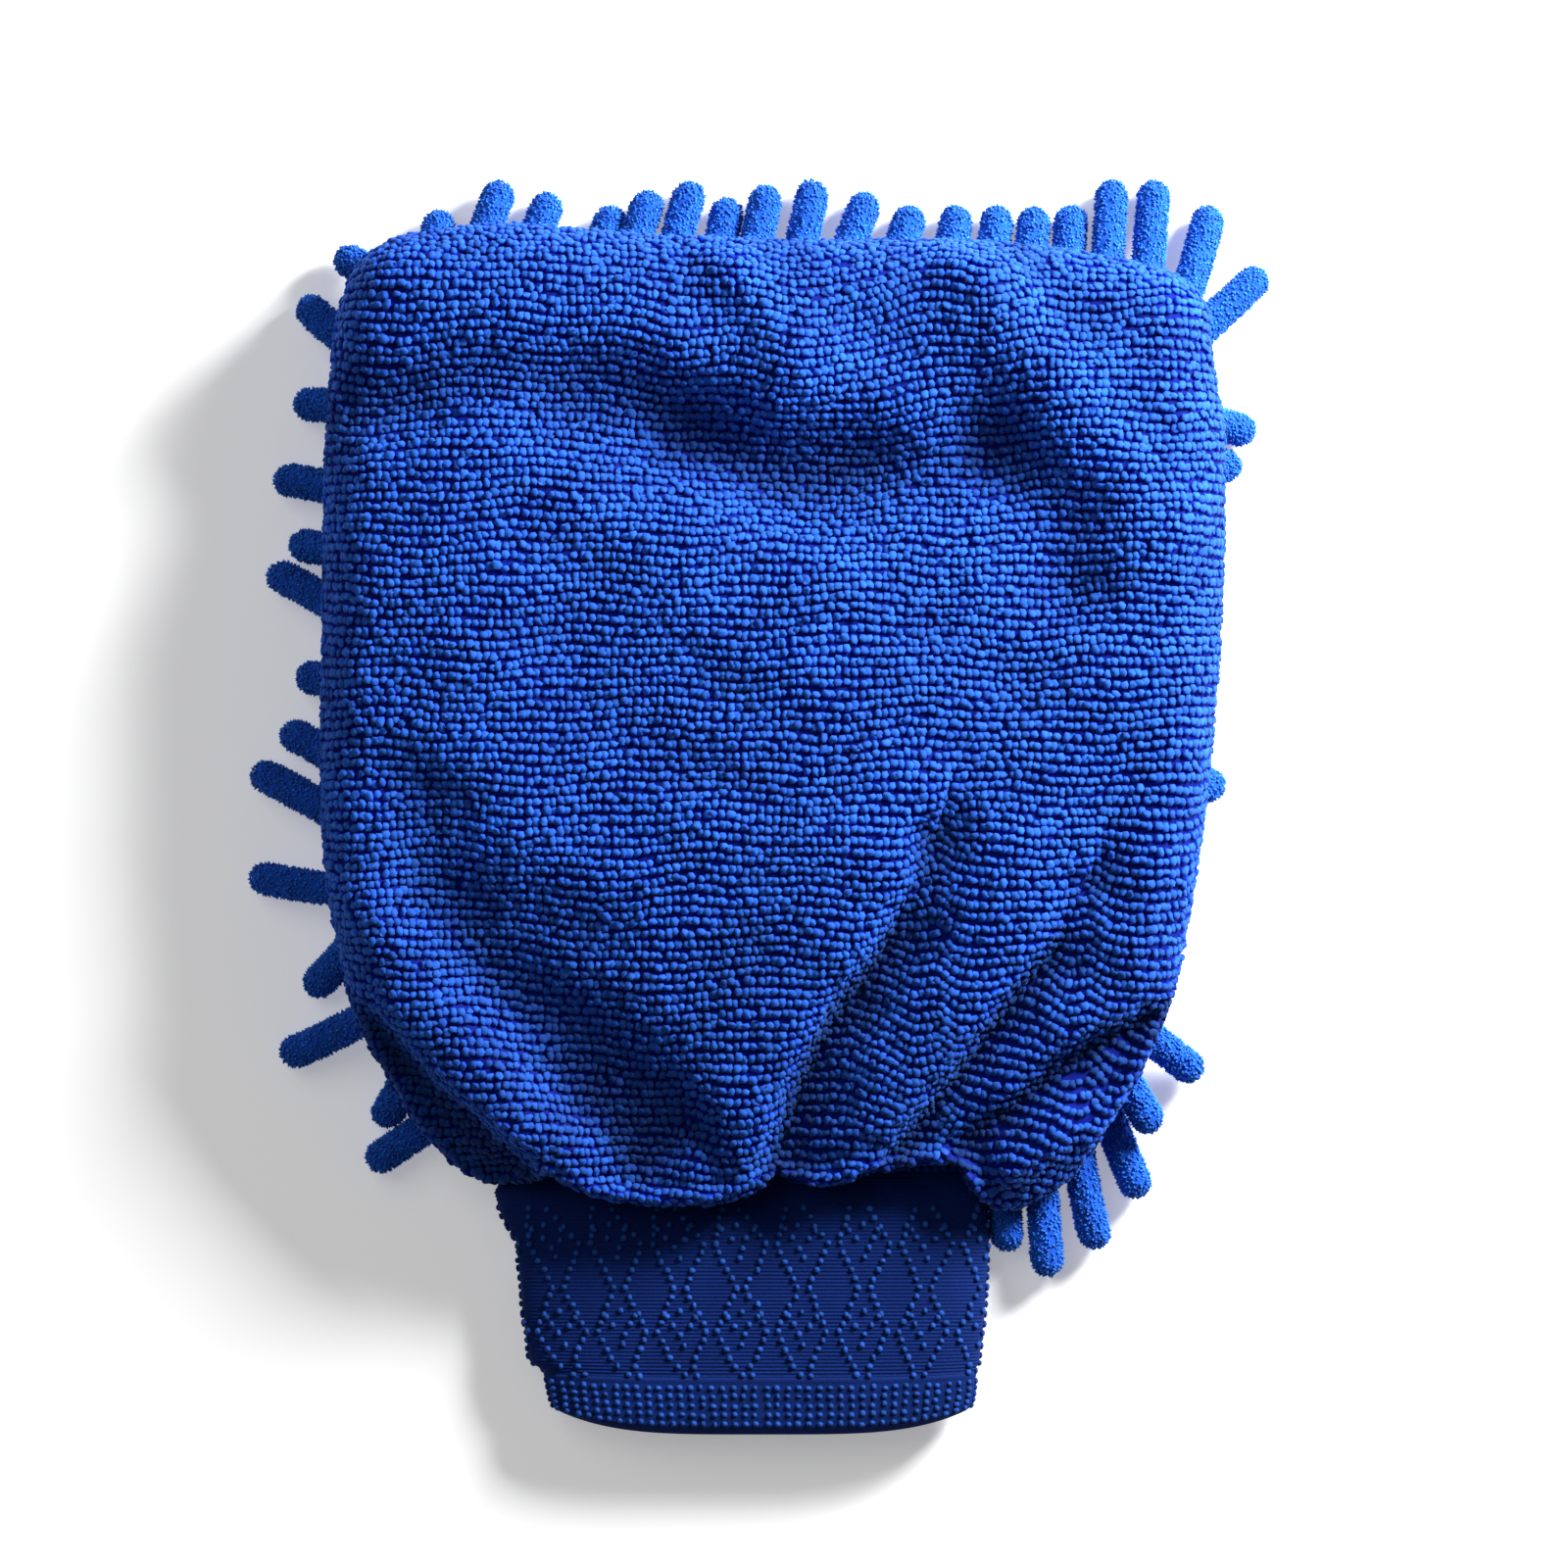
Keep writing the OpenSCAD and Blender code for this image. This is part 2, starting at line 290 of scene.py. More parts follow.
def make_object(name: str, shape: Shape, material: bpy.types.Material) -> bpy.types.Object:
    """A smooth-shaded object at the origin with the shape's mesh in metres.

    Args:
        name: The piece's name.
        shape: Its vertices and faces.
        material: Its finish.

    Returns:
        The object.
    """
    mesh = bpy.data.meshes.new(name)
    sizes = np.concatenate([np.full(len(f), f.shape[1], np.int32) for f in shape.faces])
    starts = (np.cumsum(sizes) - sizes).astype(np.int32)
    corners_in_order = np.concatenate([f.ravel() for f in shape.faces]).astype(np.int32)
    mesh.vertices.add(len(shape.verts))
    mesh.vertices.foreach_set("co", (shape.verts * MM).astype(np.float32).ravel())
    mesh.loops.add(len(corners_in_order))
    mesh.loops.foreach_set("vertex_index", corners_in_order)
    mesh.polygons.add(len(starts))
    mesh.polygons.foreach_set("loop_start", starts)
    mesh.update(calc_edges=True)
    mesh.polygons.foreach_set("use_smooth", np.ones(len(mesh.polygons), bool))
    for key, value in shape.values.items():
        mesh.attributes.new(key, "FLOAT", "POINT").data.foreach_set("value", value.astype(np.float32))
    mesh.materials.append(material)
    made = bpy.data.objects.new(name, mesh)
    bpy.context.scene.collection.objects.link(made)
    LOG.info("%s: %d faces", name, len(mesh.polygons))
    return made


def thicken(piece: bpy.types.Object, thickness_mm: float) -> bpy.types.Object:
    """Gives a cloth its thickness on its inner side.

    Args:
        piece: The cloth as a single surface.
        thickness_mm: How thick it becomes.

    Returns:
        The same piece.
    """
    wall = piece.modifiers.new("cloth thickness", "SOLIDIFY")
    wall.thickness = thickness_mm * MM
    wall.offset = -1.0
    return piece


# ---------------------------------------------------------------- finishes


@dataclass(frozen=True)
class Finish:
    """A dyed textile finish.

    Attributes:
        name: The material's name.
        slot: The record's material slot. Not used.
        colour: The dyed colour where pile catches the light.
        shade: Where depth is set, painted shade: the colour at a loop's root, where the loops shade each
            other. Otherwise the darker of the two colours that the fibre noise mixes at random.
        patch_mm: Size of the soft patches where the pile leans differently.
        patch: How far those patches change the brightness.
        fibre_mm: Size of the single fibres, for the bump.
        fibre: Strength of the fibre bump.
        rough: Surface roughness.
        sheen: Weight of the sheen that pile has.
        depth: Whether the vertices hold a height, from the root to the tip of a loop, which runs the dye from
            the painted shade at the root to the lit colour at the tip.
    """

    name: str
    slot: str
    colour: Colour
    shade: Colour
    patch_mm: float = 14.0
    patch: float = 0.16
    fibre_mm: float = 0.35
    fibre: float = 0.35
    rough: float = 0.82
    sheen: float = 0.35
    depth: bool = False

    def build(self) -> bpy.types.Material:
        """The node material: patches and fibres from noise on object coordinates, with painted shade down in
        the pile where the vertices hold a height.

        Returns:
            The material.
        """
        material = bpy.data.materials.new(self.name)
        material.use_nodes = True
        nodes, links = material.node_tree.nodes, material.node_tree.links
        surface = nodes["Principled BSDF"]
        surface.inputs["Roughness"].default_value = self.rough
        surface.inputs["Sheen Weight"].default_value = self.sheen
        surface.inputs["Sheen Roughness"].default_value = 0.4
        surface.inputs["Sheen Tint"].default_value = (0.25, 0.5, 1.0, 1.0)
        surface.inputs["Specular IOR Level"].default_value = 0.12
        place = nodes.new("ShaderNodeTexCoord")
        patches = nodes.new("ShaderNodeTexNoise")
        patches.inputs["Scale"].default_value = 1.0 / (self.patch_mm * MM)
        patches.inputs["Detail"].default_value = 3.0
        links.new(place.outputs["Object"], patches.inputs["Vector"])
        spread = nodes.new("ShaderNodeMapRange")
        spread.inputs["From Min"].default_value = 0.3
        spread.inputs["From Max"].default_value = 0.7
        spread.inputs["To Min"].default_value = 1.0 - self.patch
        spread.inputs["To Max"].default_value = 1.0 + self.patch
        links.new(patches.outputs["Fac"], spread.inputs["Value"])
        fibres = nodes.new("ShaderNodeTexNoise")
        fibres.inputs["Scale"].default_value = 1.0 / (self.fibre_mm * MM)
        fibres.inputs["Detail"].default_value = 2.0
        links.new(place.outputs["Object"], fibres.inputs["Vector"])
        mix = nodes.new("ShaderNodeMix")
        mix.data_type = "RGBA"
        mix.inputs[6].default_value = (*self.shade, 1.0)
        mix.inputs[7].default_value = (*self.colour, 1.0)
        # Painted shade: where the vertices hold a height, the dye runs from the shade colour at a root to the
        # lit colour at a tip.
        if self.depth:
            height = nodes.new("ShaderNodeAttribute")
            height.attribute_name = "height"
            rise = nodes.new("ShaderNodeMapRange")
            rise.inputs["From Min"].default_value = 0.0
            rise.inputs["From Max"].default_value = 0.75
            links.new(height.outputs["Fac"], rise.inputs["Value"])
            links.new(rise.outputs["Result"], mix.inputs[0])
        else:
            links.new(fibres.outputs["Fac"], mix.inputs[0])
        tint = nodes.new("ShaderNodeMix")
        tint.data_type = "RGBA"
        tint.blend_type = "MULTIPLY"
        tint.inputs[0].default_value = 1.0
        links.new(mix.outputs[2], tint.inputs[6])
        light = spread.outputs["Result"]
        # Painted shade: the loops' per-copy brightness also holds the shade of the hollows and the gathers.
        if self.depth:
            tone_and_painted_shade = nodes.new("ShaderNodeAttribute")
            tone_and_painted_shade.attribute_name = "tone_and_painted_shade"
            both = nodes.new("ShaderNodeMath")
            both.operation = "MULTIPLY"
            links.new(tone_and_painted_shade.outputs["Fac"], both.inputs[0])
            links.new(light, both.inputs[1])
            light = both.outputs[0]
        links.new(light, tint.inputs[7])
        links.new(tint.outputs[2], surface.inputs["Base Color"])
        bump = nodes.new("ShaderNodeBump")
        bump.inputs["Strength"].default_value = self.fibre
        bump.inputs["Distance"].default_value = 0.4 * self.fibre_mm * MM
        links.new(fibres.outputs["Fac"], bump.inputs["Height"])
        links.new(bump.outputs["Normal"], surface.inputs["Normal"])
        return material


class Dye(Enum):
    """The mitt's finishes."""

    # The finishes with depth (the loops, the noodles and the knots) hold painted shade at their roots in
    # their second colour.
    LOOPS = Finish(
        "terry_loops", "terry", (0.015, 0.088, 0.45), (0.0003, 0.027, 0.50),
        sheen=0.10, depth=True,
    )
    # The real ground cloth, dyed far darker than the loops: painted shade in the gaps between the rows.
    CLOTH = Finish("terry_ground", "terry", (0.0004, 0.009, 0.20), (0.0003, 0.006, 0.15), sheen=0.0)
    NOODLES = Finish(
        "chenille_pile", "noodle", (0.028, 0.21, 0.80), (0.005, 0.055, 0.44),
        patch_mm=5.0, patch=0.14, fibre_mm=0.5, fibre=0.4, rough=0.9, sheen=0.3, depth=True,
    )
    MESH = Finish("palm_mesh", "mesh", (0.008, 0.05, 0.33), (0.003, 0.02, 0.15), sheen=0.1)
    LINING = Finish("pocket_lining", "lining", (0.010, 0.06, 0.38), (0.006, 0.035, 0.25), sheen=0.1)
    SEAM = Finish("overlocked_seam", "seam", (0.012, 0.07, 0.42), (0.003, 0.02, 0.18))
    KNIT = Finish(
        "cuff_knit", "cuff_knit", (0.0012, 0.019, 0.145), (0.0006, 0.009, 0.08),
        patch_mm=11.0, patch=0.10, fibre_mm=0.5, fibre=0.4, rough=0.8, sheen=0.02,
    )
    KNIT_DOTS = Finish(
        "cuff_dots", "cuff_knit", (0.011, 0.062, 0.30), (0.002, 0.014, 0.11),
        sheen=0.06, depth=True,
    )
    KNIT_INSIDE = Finish("cuff_inside", "cuff_inside", (0.008, 0.045, 0.24), (0.004, 0.022, 0.14))
    HEM = Finish(
        "cuff_hem", "cuff_hem", (0.0012, 0.018, 0.135), (0.0006, 0.009, 0.075),
        fibre_mm=0.5, sheen=0.02,
    )
    HEM_DOTS = Finish(
        "hem_dots", "cuff_hem", (0.011, 0.062, 0.30), (0.002, 0.014, 0.11),
        sheen=0.06, depth=True,
    )
    ELASTIC = Finish("covered_elastic", "elastic", (0.72, 0.72, 0.70), (0.5, 0.5, 0.48), sheen=0.0)


class Dyer:
    """Makes each finish's material once."""

    def __init__(self) -> None:
        """Starts with no material made."""
        self._made: dict[Dye, bpy.types.Material] = {}

    def material(self, dye: Dye) -> bpy.types.Material:
        """The finish's material, made on first use."""
        if dye not in self._made:
            self._made[dye] = dye.value.build()
        return self._made[dye]

    def piece(self, name: str, shape: Shape, dye: Dye) -> bpy.types.Object:
        """A named object in a finish."""
        return make_object(name, shape, self.material(dye))


# ---------------------------------------------------------------- the terry face


class FoldKind(Enum):
    """How a fold's section looks."""

    VALLEY = "soft round valley"
    CREASE = "sharp crease"
    STEP = "one side lies lower"


@dataclass(frozen=True)
class Fold:
    """A fold of the face along a path.

    Attributes:
        path: Listed points of the fold's line, in millimetres.
        depth: How deep it is at the path's start and end. A ridge is negative.
        width: Half of its width at the start and the end.
        kind: Its section.
        steep: Share of the width that a valley has on the path's right, where the cloth laps over.
    """

    path: tuple[Point, ...]
    depth: Point
    width: Point
    kind: FoldKind = FoldKind.VALLEY
    steep: float = 1.0

    def drop(self, x: Array, y: Array) -> Array:
        """How far the face lies lower because of this fold.

        A valley falls off as exp(-(d/w)^2) and a crease as exp(-|d|/w), with d the distance from the
        path and w the width. On the path's right a valley's width is multiplied by steep. A step
        passes smoothly from 0 on the path's left to the whole depth on its right.

        Args:
            x: The places' x.
            y: Their y.

        Returns:
            The drop at each place, negative on a ridge.
        """
        away, share = to_path(x, y, spline(self.path, 6))
        depth = self.depth[0] + (self.depth[1] - self.depth[0]) * share
        width = self.width[0] + (self.width[1] - self.width[0]) * share
        if self.kind is FoldKind.VALLEY:
            width = np.where(away < 0, width * self.steep, width)
            return depth * np.exp(-((away / width) ** 2))
        if self.kind is FoldKind.CREASE:
            return depth * np.exp(-np.abs(away) / width)
        return depth * ease(-away / width, -1.0, 1.0)


CREASE_C = ((35, -6), (32, -17), (26, -28), (19.8, -37.3), (14, -46), (8.6, -57), (4.8, -69), (3.4, -78))
CREASE_D = ((65, -17), (60.6, -28.4), (53, -37.6), (45, -49), (35.4, -61.5), (27.6, -71.7), (24.4, -76))
CREASE_E = ((87, -36), (82.3, -42), (70.8, -47.5), (60.6, -53.9), (51.7, -61.2), (42.6, -68.4), (39.6, -74))


@dataclass
class FaceSurface:
    """The face's shape over the plan: its outline, its round edges and its folds.

    Attributes:
        outline: Listed points round the looped face, clockwise from the left end of the cuff.
        inset: How far the ground cloth lies inside the tips of the loops.
        rise: Height of the round edge.
        edge_r: How far in the edge is round.
        crown: How much the middle rises further.
        swell: Height of the small swells that no named fold gives.
        step: Spacing of the grid on which the folds are worked out.
        spread: How wide the mean is that a hollow is measured from.
        seam_top: Height of the outline where nothing pulls it down.
        sink: How far the face sinks from its middle to the wrist.
        folds: The folds.
    """

    outline: tuple[Point, ...] = (
        (-46, -77.0), (-54.4, -77.6), (-61, -75.4), (-66.6, -70), (-72, -62.8), (-77, -54.4), (-81.4, -46.8),
        (-84.4, -38.4), (-86.6, -28), (-88.6, -17), (-90, 0), (-90, 22), (-89.6, 46), (-89, 74), (-87.8, 92),
        (-85.8, 104), (-81.8, 112), (-75.6, 116.4), (-66, 118.4), (-51, 119.8), (-34, 118.4), (-6, 116.8),
        (18, 116.4), (42, 116.4), (62, 114.4), (79, 111.4), (87.6, 107.8), (91.8, 102), (92.8, 94),
        (94.2, 84), (95.4, 76), (95.4, 58), (94.8, 38), (93.8, 22), (91.6, 0), (89.6, -14), (87.8, -25),
        (85.4, -37), (82, -46), (78.8, -53.6), (73.8, -62.2), (68.4, -71), (63.4, -77), (57.6, -81),
        (52, -83), (46.6, -81.8), (42.6, -78), (40.0, -73.6), (36.4, -73.2), (30, -74), (25.6, -75),
        (23.4, -74.6), (18, -77), (11, -77.8), (6, -76.6), (3.8, -75.4), (1, -78), (-4, -80.4), (-11, -81.8),
        (-22, -81.8), (-32, -80.4), (-39, -78), (-42.8, -75.8),
    )
    inset: float = 0.9
    rise: float = 12.6
    edge_r: float = 11.0
    crown: float = 3.0
    swell: float = 0.35
    step: float = 0.5
    spread: float = 8.0
    seam_top: float = 15.4
    sink: float = 5.5
    folds: tuple[Fold, ...] = (
        # The left roll ends in a step, and the cloth behind it lies lower, with a small fold of its own.
        Fold(((-92, -24), (-84, -34.6), (-77, -42.2), (-66, -54.6), (-54.6, -64.4), (-44, -74.6), (-34, -82)),
             (2.0, 13.0), (2.6, 1.7), FoldKind.STEP),
        Fold(((-80, -43), (-70, -56), (-56, -69)), (1.0, 2.4), (1.6, 1.2), FoldKind.CREASE),
        # The left roll, and the broad valley between it and the big middle lobe with its small dent.
        Fold(((-82, -22), (-70, -38), (-56, -53), (-40, -70)), (-1.5, -3.5), (9, 8)),
        Fold(((-70, 0), (-63, -17), (-54.5, -32), (-44, -46), (-34, -58), (-24, -70)), (4.0, 9.0), (12, 9)),
        Fold(((-44, -22), (-34, -38), (-24, -52), (-16, -64)), (2.0, 3.0), (10, 8)),
        Fold(((-17, -56), (-12, -66), (-7, -80)), (1.4, 2.4), (4.0, 2.6)),
        # The three creases of the right half, from the middle outwards. The cloth left of each laps over.
        Fold(CREASE_C, (5.0, 10.0), (11, 9.5), steep=0.34),
        Fold(CREASE_C[2:], (1.6, 5.4), (1.4, 1.2), FoldKind.CREASE),
        Fold(CREASE_D, (4.0, 9.0), (11, 8.5), steep=0.32),
        Fold(CREASE_D[1:], (1.6, 5.2), (1.4, 1.2), FoldKind.CREASE),
        Fold(CREASE_E, (5.0, 8.0), (10, 8), steep=0.30),
        Fold(CREASE_E[1:], (4.0, 5.4), (1.4, 1.3), FoldKind.CREASE),
        # The long dent behind the roll at the fingertips, and the slanting ridge with its own dent.
        Fold(((-86, 79), (-70, 83), (-54, 86), (-36, 83), (-20, 77), (-4, 70), (12, 67), (28, 68), (42, 70)),
             (4.4, 6.0), (9, 12)),
        Fold(((-16, 74), (2, 69), (20, 67)), (4.0, 4.0), (11, 11)),
        Fold(((-66, 103), (-34, 101), (4, 93)), (-1.8, -2.6), (10, 11)),
        Fold(((46, 76), (58, 60), (63, 46)), (2.6, 3.0), (8, 9)),
        Fold(((39, 117), (46, 106), (57, 91), (70, 75), (78, 56)), (-3.6, -3.0), (7.5, 10)),
        Fold(((52, 116), (58, 107), (66, 98)), (2.2, 1.0), (4, 5)),
        Fold(((-9, 117), (0, 104), (8, 94)), (-3.4, -1.6), (6.5, 8)),
        Fold(((-17, 120), (-12, 108), (-6, 97)), (1.6, 1.0), (3.5, 6)),
        # Slow swells of the loose middle.
        Fold(((-66, 60), (-58, 10)), (-1.5, -1.5), (24, 24)),
        Fold(((8, 34), (18, 0)), (-2.0, -2.0), (26, 22)),
        Fold(((-36, 40), (-24, 8)), (1.5, 1.6), (18, 16)),
        Fold(((52, 34), (56, 4)), (1.6, 1.8), (15, 15)),
    )

    def __post_init__(self) -> None:
        """Works out what is read over the plan, on a grid.

        loop is the ground cloth's outline, inwards the distance inside it, and drop how far the face
        lies lower: the sum of the folds, of ten sine waves in random directions, and of the sink
        towards the wrist. hollow is how far the folds and waves lie below their mean round a place,
        a Gaussian blur done with a Fourier transform.
        """
        curve = spline(self.outline, 6, closed=True)
        tangent = unit(np.roll(curve, -1, 0) - np.roll(curve, 1, 0))
        self.loop = curve + self.inset * np.stack([tangent[:, 1], -tangent[:, 0]], 1)
        self.x0, self.y0 = -97.0, -88.0
        x = np.arange(self.x0, 101.0, self.step)
        y = np.arange(self.y0, 126.0, self.step)
        gx, gy = np.meshgrid(x, y)
        self.inwards = -to_path(gx, gy, np.vstack([self.loop, self.loop[:1]]))[0]
        drop = sum(fold.drop(gx, gy) for fold in self.folds)
        rng = np.random.default_rng(5)
        for _ in range(10):
            way, wave = rng.uniform(0, np.pi), rng.uniform(17, 46)
            run = gx * np.cos(way) + gy * np.sin(way)
            drop = drop + 0.5 * self.swell * np.sin(2 * np.pi * run / wave + rng.uniform(0, 6.3))
        self.drop = drop + self.sink * ease(gy, 0.0, -84.0)
        waves = np.hypot(np.fft.fftfreq(len(y), self.step)[:, None], np.fft.rfftfreq(len(x), self.step))
        smooth = np.exp(-2 * (np.pi * self.spread * waves) ** 2)
        self.hollow = drop - np.fft.irfft2(np.fft.rfft2(drop) * smooth, s=drop.shape)

    def read(self, grid: Array, x: Array, y: Array) -> Array:
        """A grid's value at any points, in straight lines between its own points.

        Args:
            grid: Values over the plan, a row for each y.
            x: The places' x.
            y: Their y.

        Returns:
            The value at each place.
        """
        across = np.clip((x - self.x0) / self.step, 0, grid.shape[1] - 1.001)
        along = np.clip((y - self.y0) / self.step, 0, grid.shape[0] - 1.001)
        i, j = across.astype(int), along.astype(int)
        u, v = across - i, along - j
        low = grid[j, i] * (1 - u) + grid[j, i + 1] * u
        high = grid[j + 1, i] * (1 - u) + grid[j + 1, i + 1] * u
        return low * (1 - v) + high * v

    def painted_shade(self, x: Array, y: Array) -> Array:
        """Painted shade for the loops' dye: below 1 in a hollow, a little above 1 on a ridge, and lower
        towards the gathers at the wrist.
        """
        hollow = 1.0 - np.clip(0.17 * self.read(self.hollow, x, y), -0.08, 0.62)
        return hollow * (1.0 - 0.26 * ease(y, 0.0, -58.0))

    @staticmethod
    def beside_cuff(x: Array) -> Array:
        """1 beside the cuff and 0 over it."""
        return ease(np.abs(x + 1.2), 42.0, 53.0)

    def seam_z(self, x: Array, y: Array) -> Array:
        """Height of the outline. It comes down beside the cuff and stays up over it.

        Args:
            x: The places' x.
            y: Their y.

        Returns:
            The height at each place.
        """
        beside = np.interp(y, [-78, -73, -70, -66, -60, -50], [8.2, 8.8, 10.6, 12.6, 14.2, 15.4])
        over = self.seam_top + 0.8 * ease(y, -60.0, -74.0)
        return over + (beside - over) * self.beside_cuff(x)

    def height(self, x: Array, y: Array) -> Array:
        """Height of the face over the plan.

        The edge is a quarter circle, edge_r wide and rise high, and the crown is added to it. The
        folds' drop fades out at the outline. With u the drop's share of that height, 1 - u of it is
        left down to a half, and from there exp(1 - 2 u) / 2, so a fold never goes through.

        Args:
            x: The places' x.
            y: Their y.

        Returns:
            The height at each place.
        """
        d = self.read(self.inwards, x, y)
        t = np.clip(d / self.edge_r, 0.0, 1.0)
        top = self.rise * np.sqrt(1.0 - (1.0 - t) ** 2)
        top = top + self.crown * (1.0 - np.exp(-np.maximum(d, 0) / 26))
        drop = self.read(self.drop, x, y) * ease(d, -0.5, 5.0)
        low = (self.seam_top - self.seam_z(x, y)) * (1.0 - ease(d, 0.0, 10.0))
        share = drop / np.maximum(top, 0.5)
        left = np.where(share < 0.5, 1.0 - share, 0.5 * np.exp(1.0 - 2.0 * np.maximum(share, 0.5)))
        return self.seam_top - low + top * left

    def point_and_normal(self, x: Array, y: Array) -> tuple[Array, Array]:
        """Points on the face, and the unit normals there from steps of 0.4 mm to either side.

        Args:
            x: The places' x.
            y: Their y.

        Returns:
            The points and the normals.
        """
        h = 0.4
        slope_x = (self.height(x + h, y) - self.height(x - h, y)) / (2 * h)
        slope_y = (self.height(x, y + h) - self.height(x, y - h)) / (2 * h)
        normal = unit(np.stack([-slope_x, -slope_y, np.ones_like(slope_x)], -1))
        return np.stack([x, y, self.height(x, y)], -1), normal

    def tucked(self, loop: Array, t: float) -> tuple[Array, Array]:
        """Points and normals of the edge that turns in under the outline.

        It is a quarter ellipse: in by reach times 1 - cos(90 t), and down by fall times sin(90 t).

        Args:
            loop: Plan points of the outline, clockwise.
            t: 0 at the outline and 1 at the cloth's hidden edge.

        Returns:
            The points and the unit normals.
        """
        x, y = loop[:, 0], loop[:, 1]
        tangent = unit(np.roll(loop, -1, 0) - np.roll(loop, 1, 0))
        inward = np.stack([tangent[:, 1], -tangent[:, 0]], 1)
        beside = self.beside_cuff(x)
        reach_over = np.where(y < -60, np.clip(-72.2 - y, 1.6, 8.5), 1.6)
        reach_beside = 1.6 + 6.4 * ease(y, -60.0, -72.0)
        low_beside = np.interp(y, [-78, -73, -72, -70, -66, -60, -50], [4.6, 4.8, 6.8, 7.9, 10.3, 11.9, 14.1])
        low_over = 14.1 - 2.9 * ease(y, -60.0, -72.0)
        reach = reach_over + (reach_beside - reach_over) * beside
        low = low_over + (low_beside - low_over) * beside
        start = self.seam_z(x, y)
        a = 0.5 * np.pi * t
        plan = loop + inward * (reach * (1 - np.cos(a)))[:, None]
        points = np.column_stack([plan, start - (start - low) * np.sin(a)])
        return points, unit(np.column_stack([-inward * np.cos(a), np.full(len(x), -np.sin(a))]))


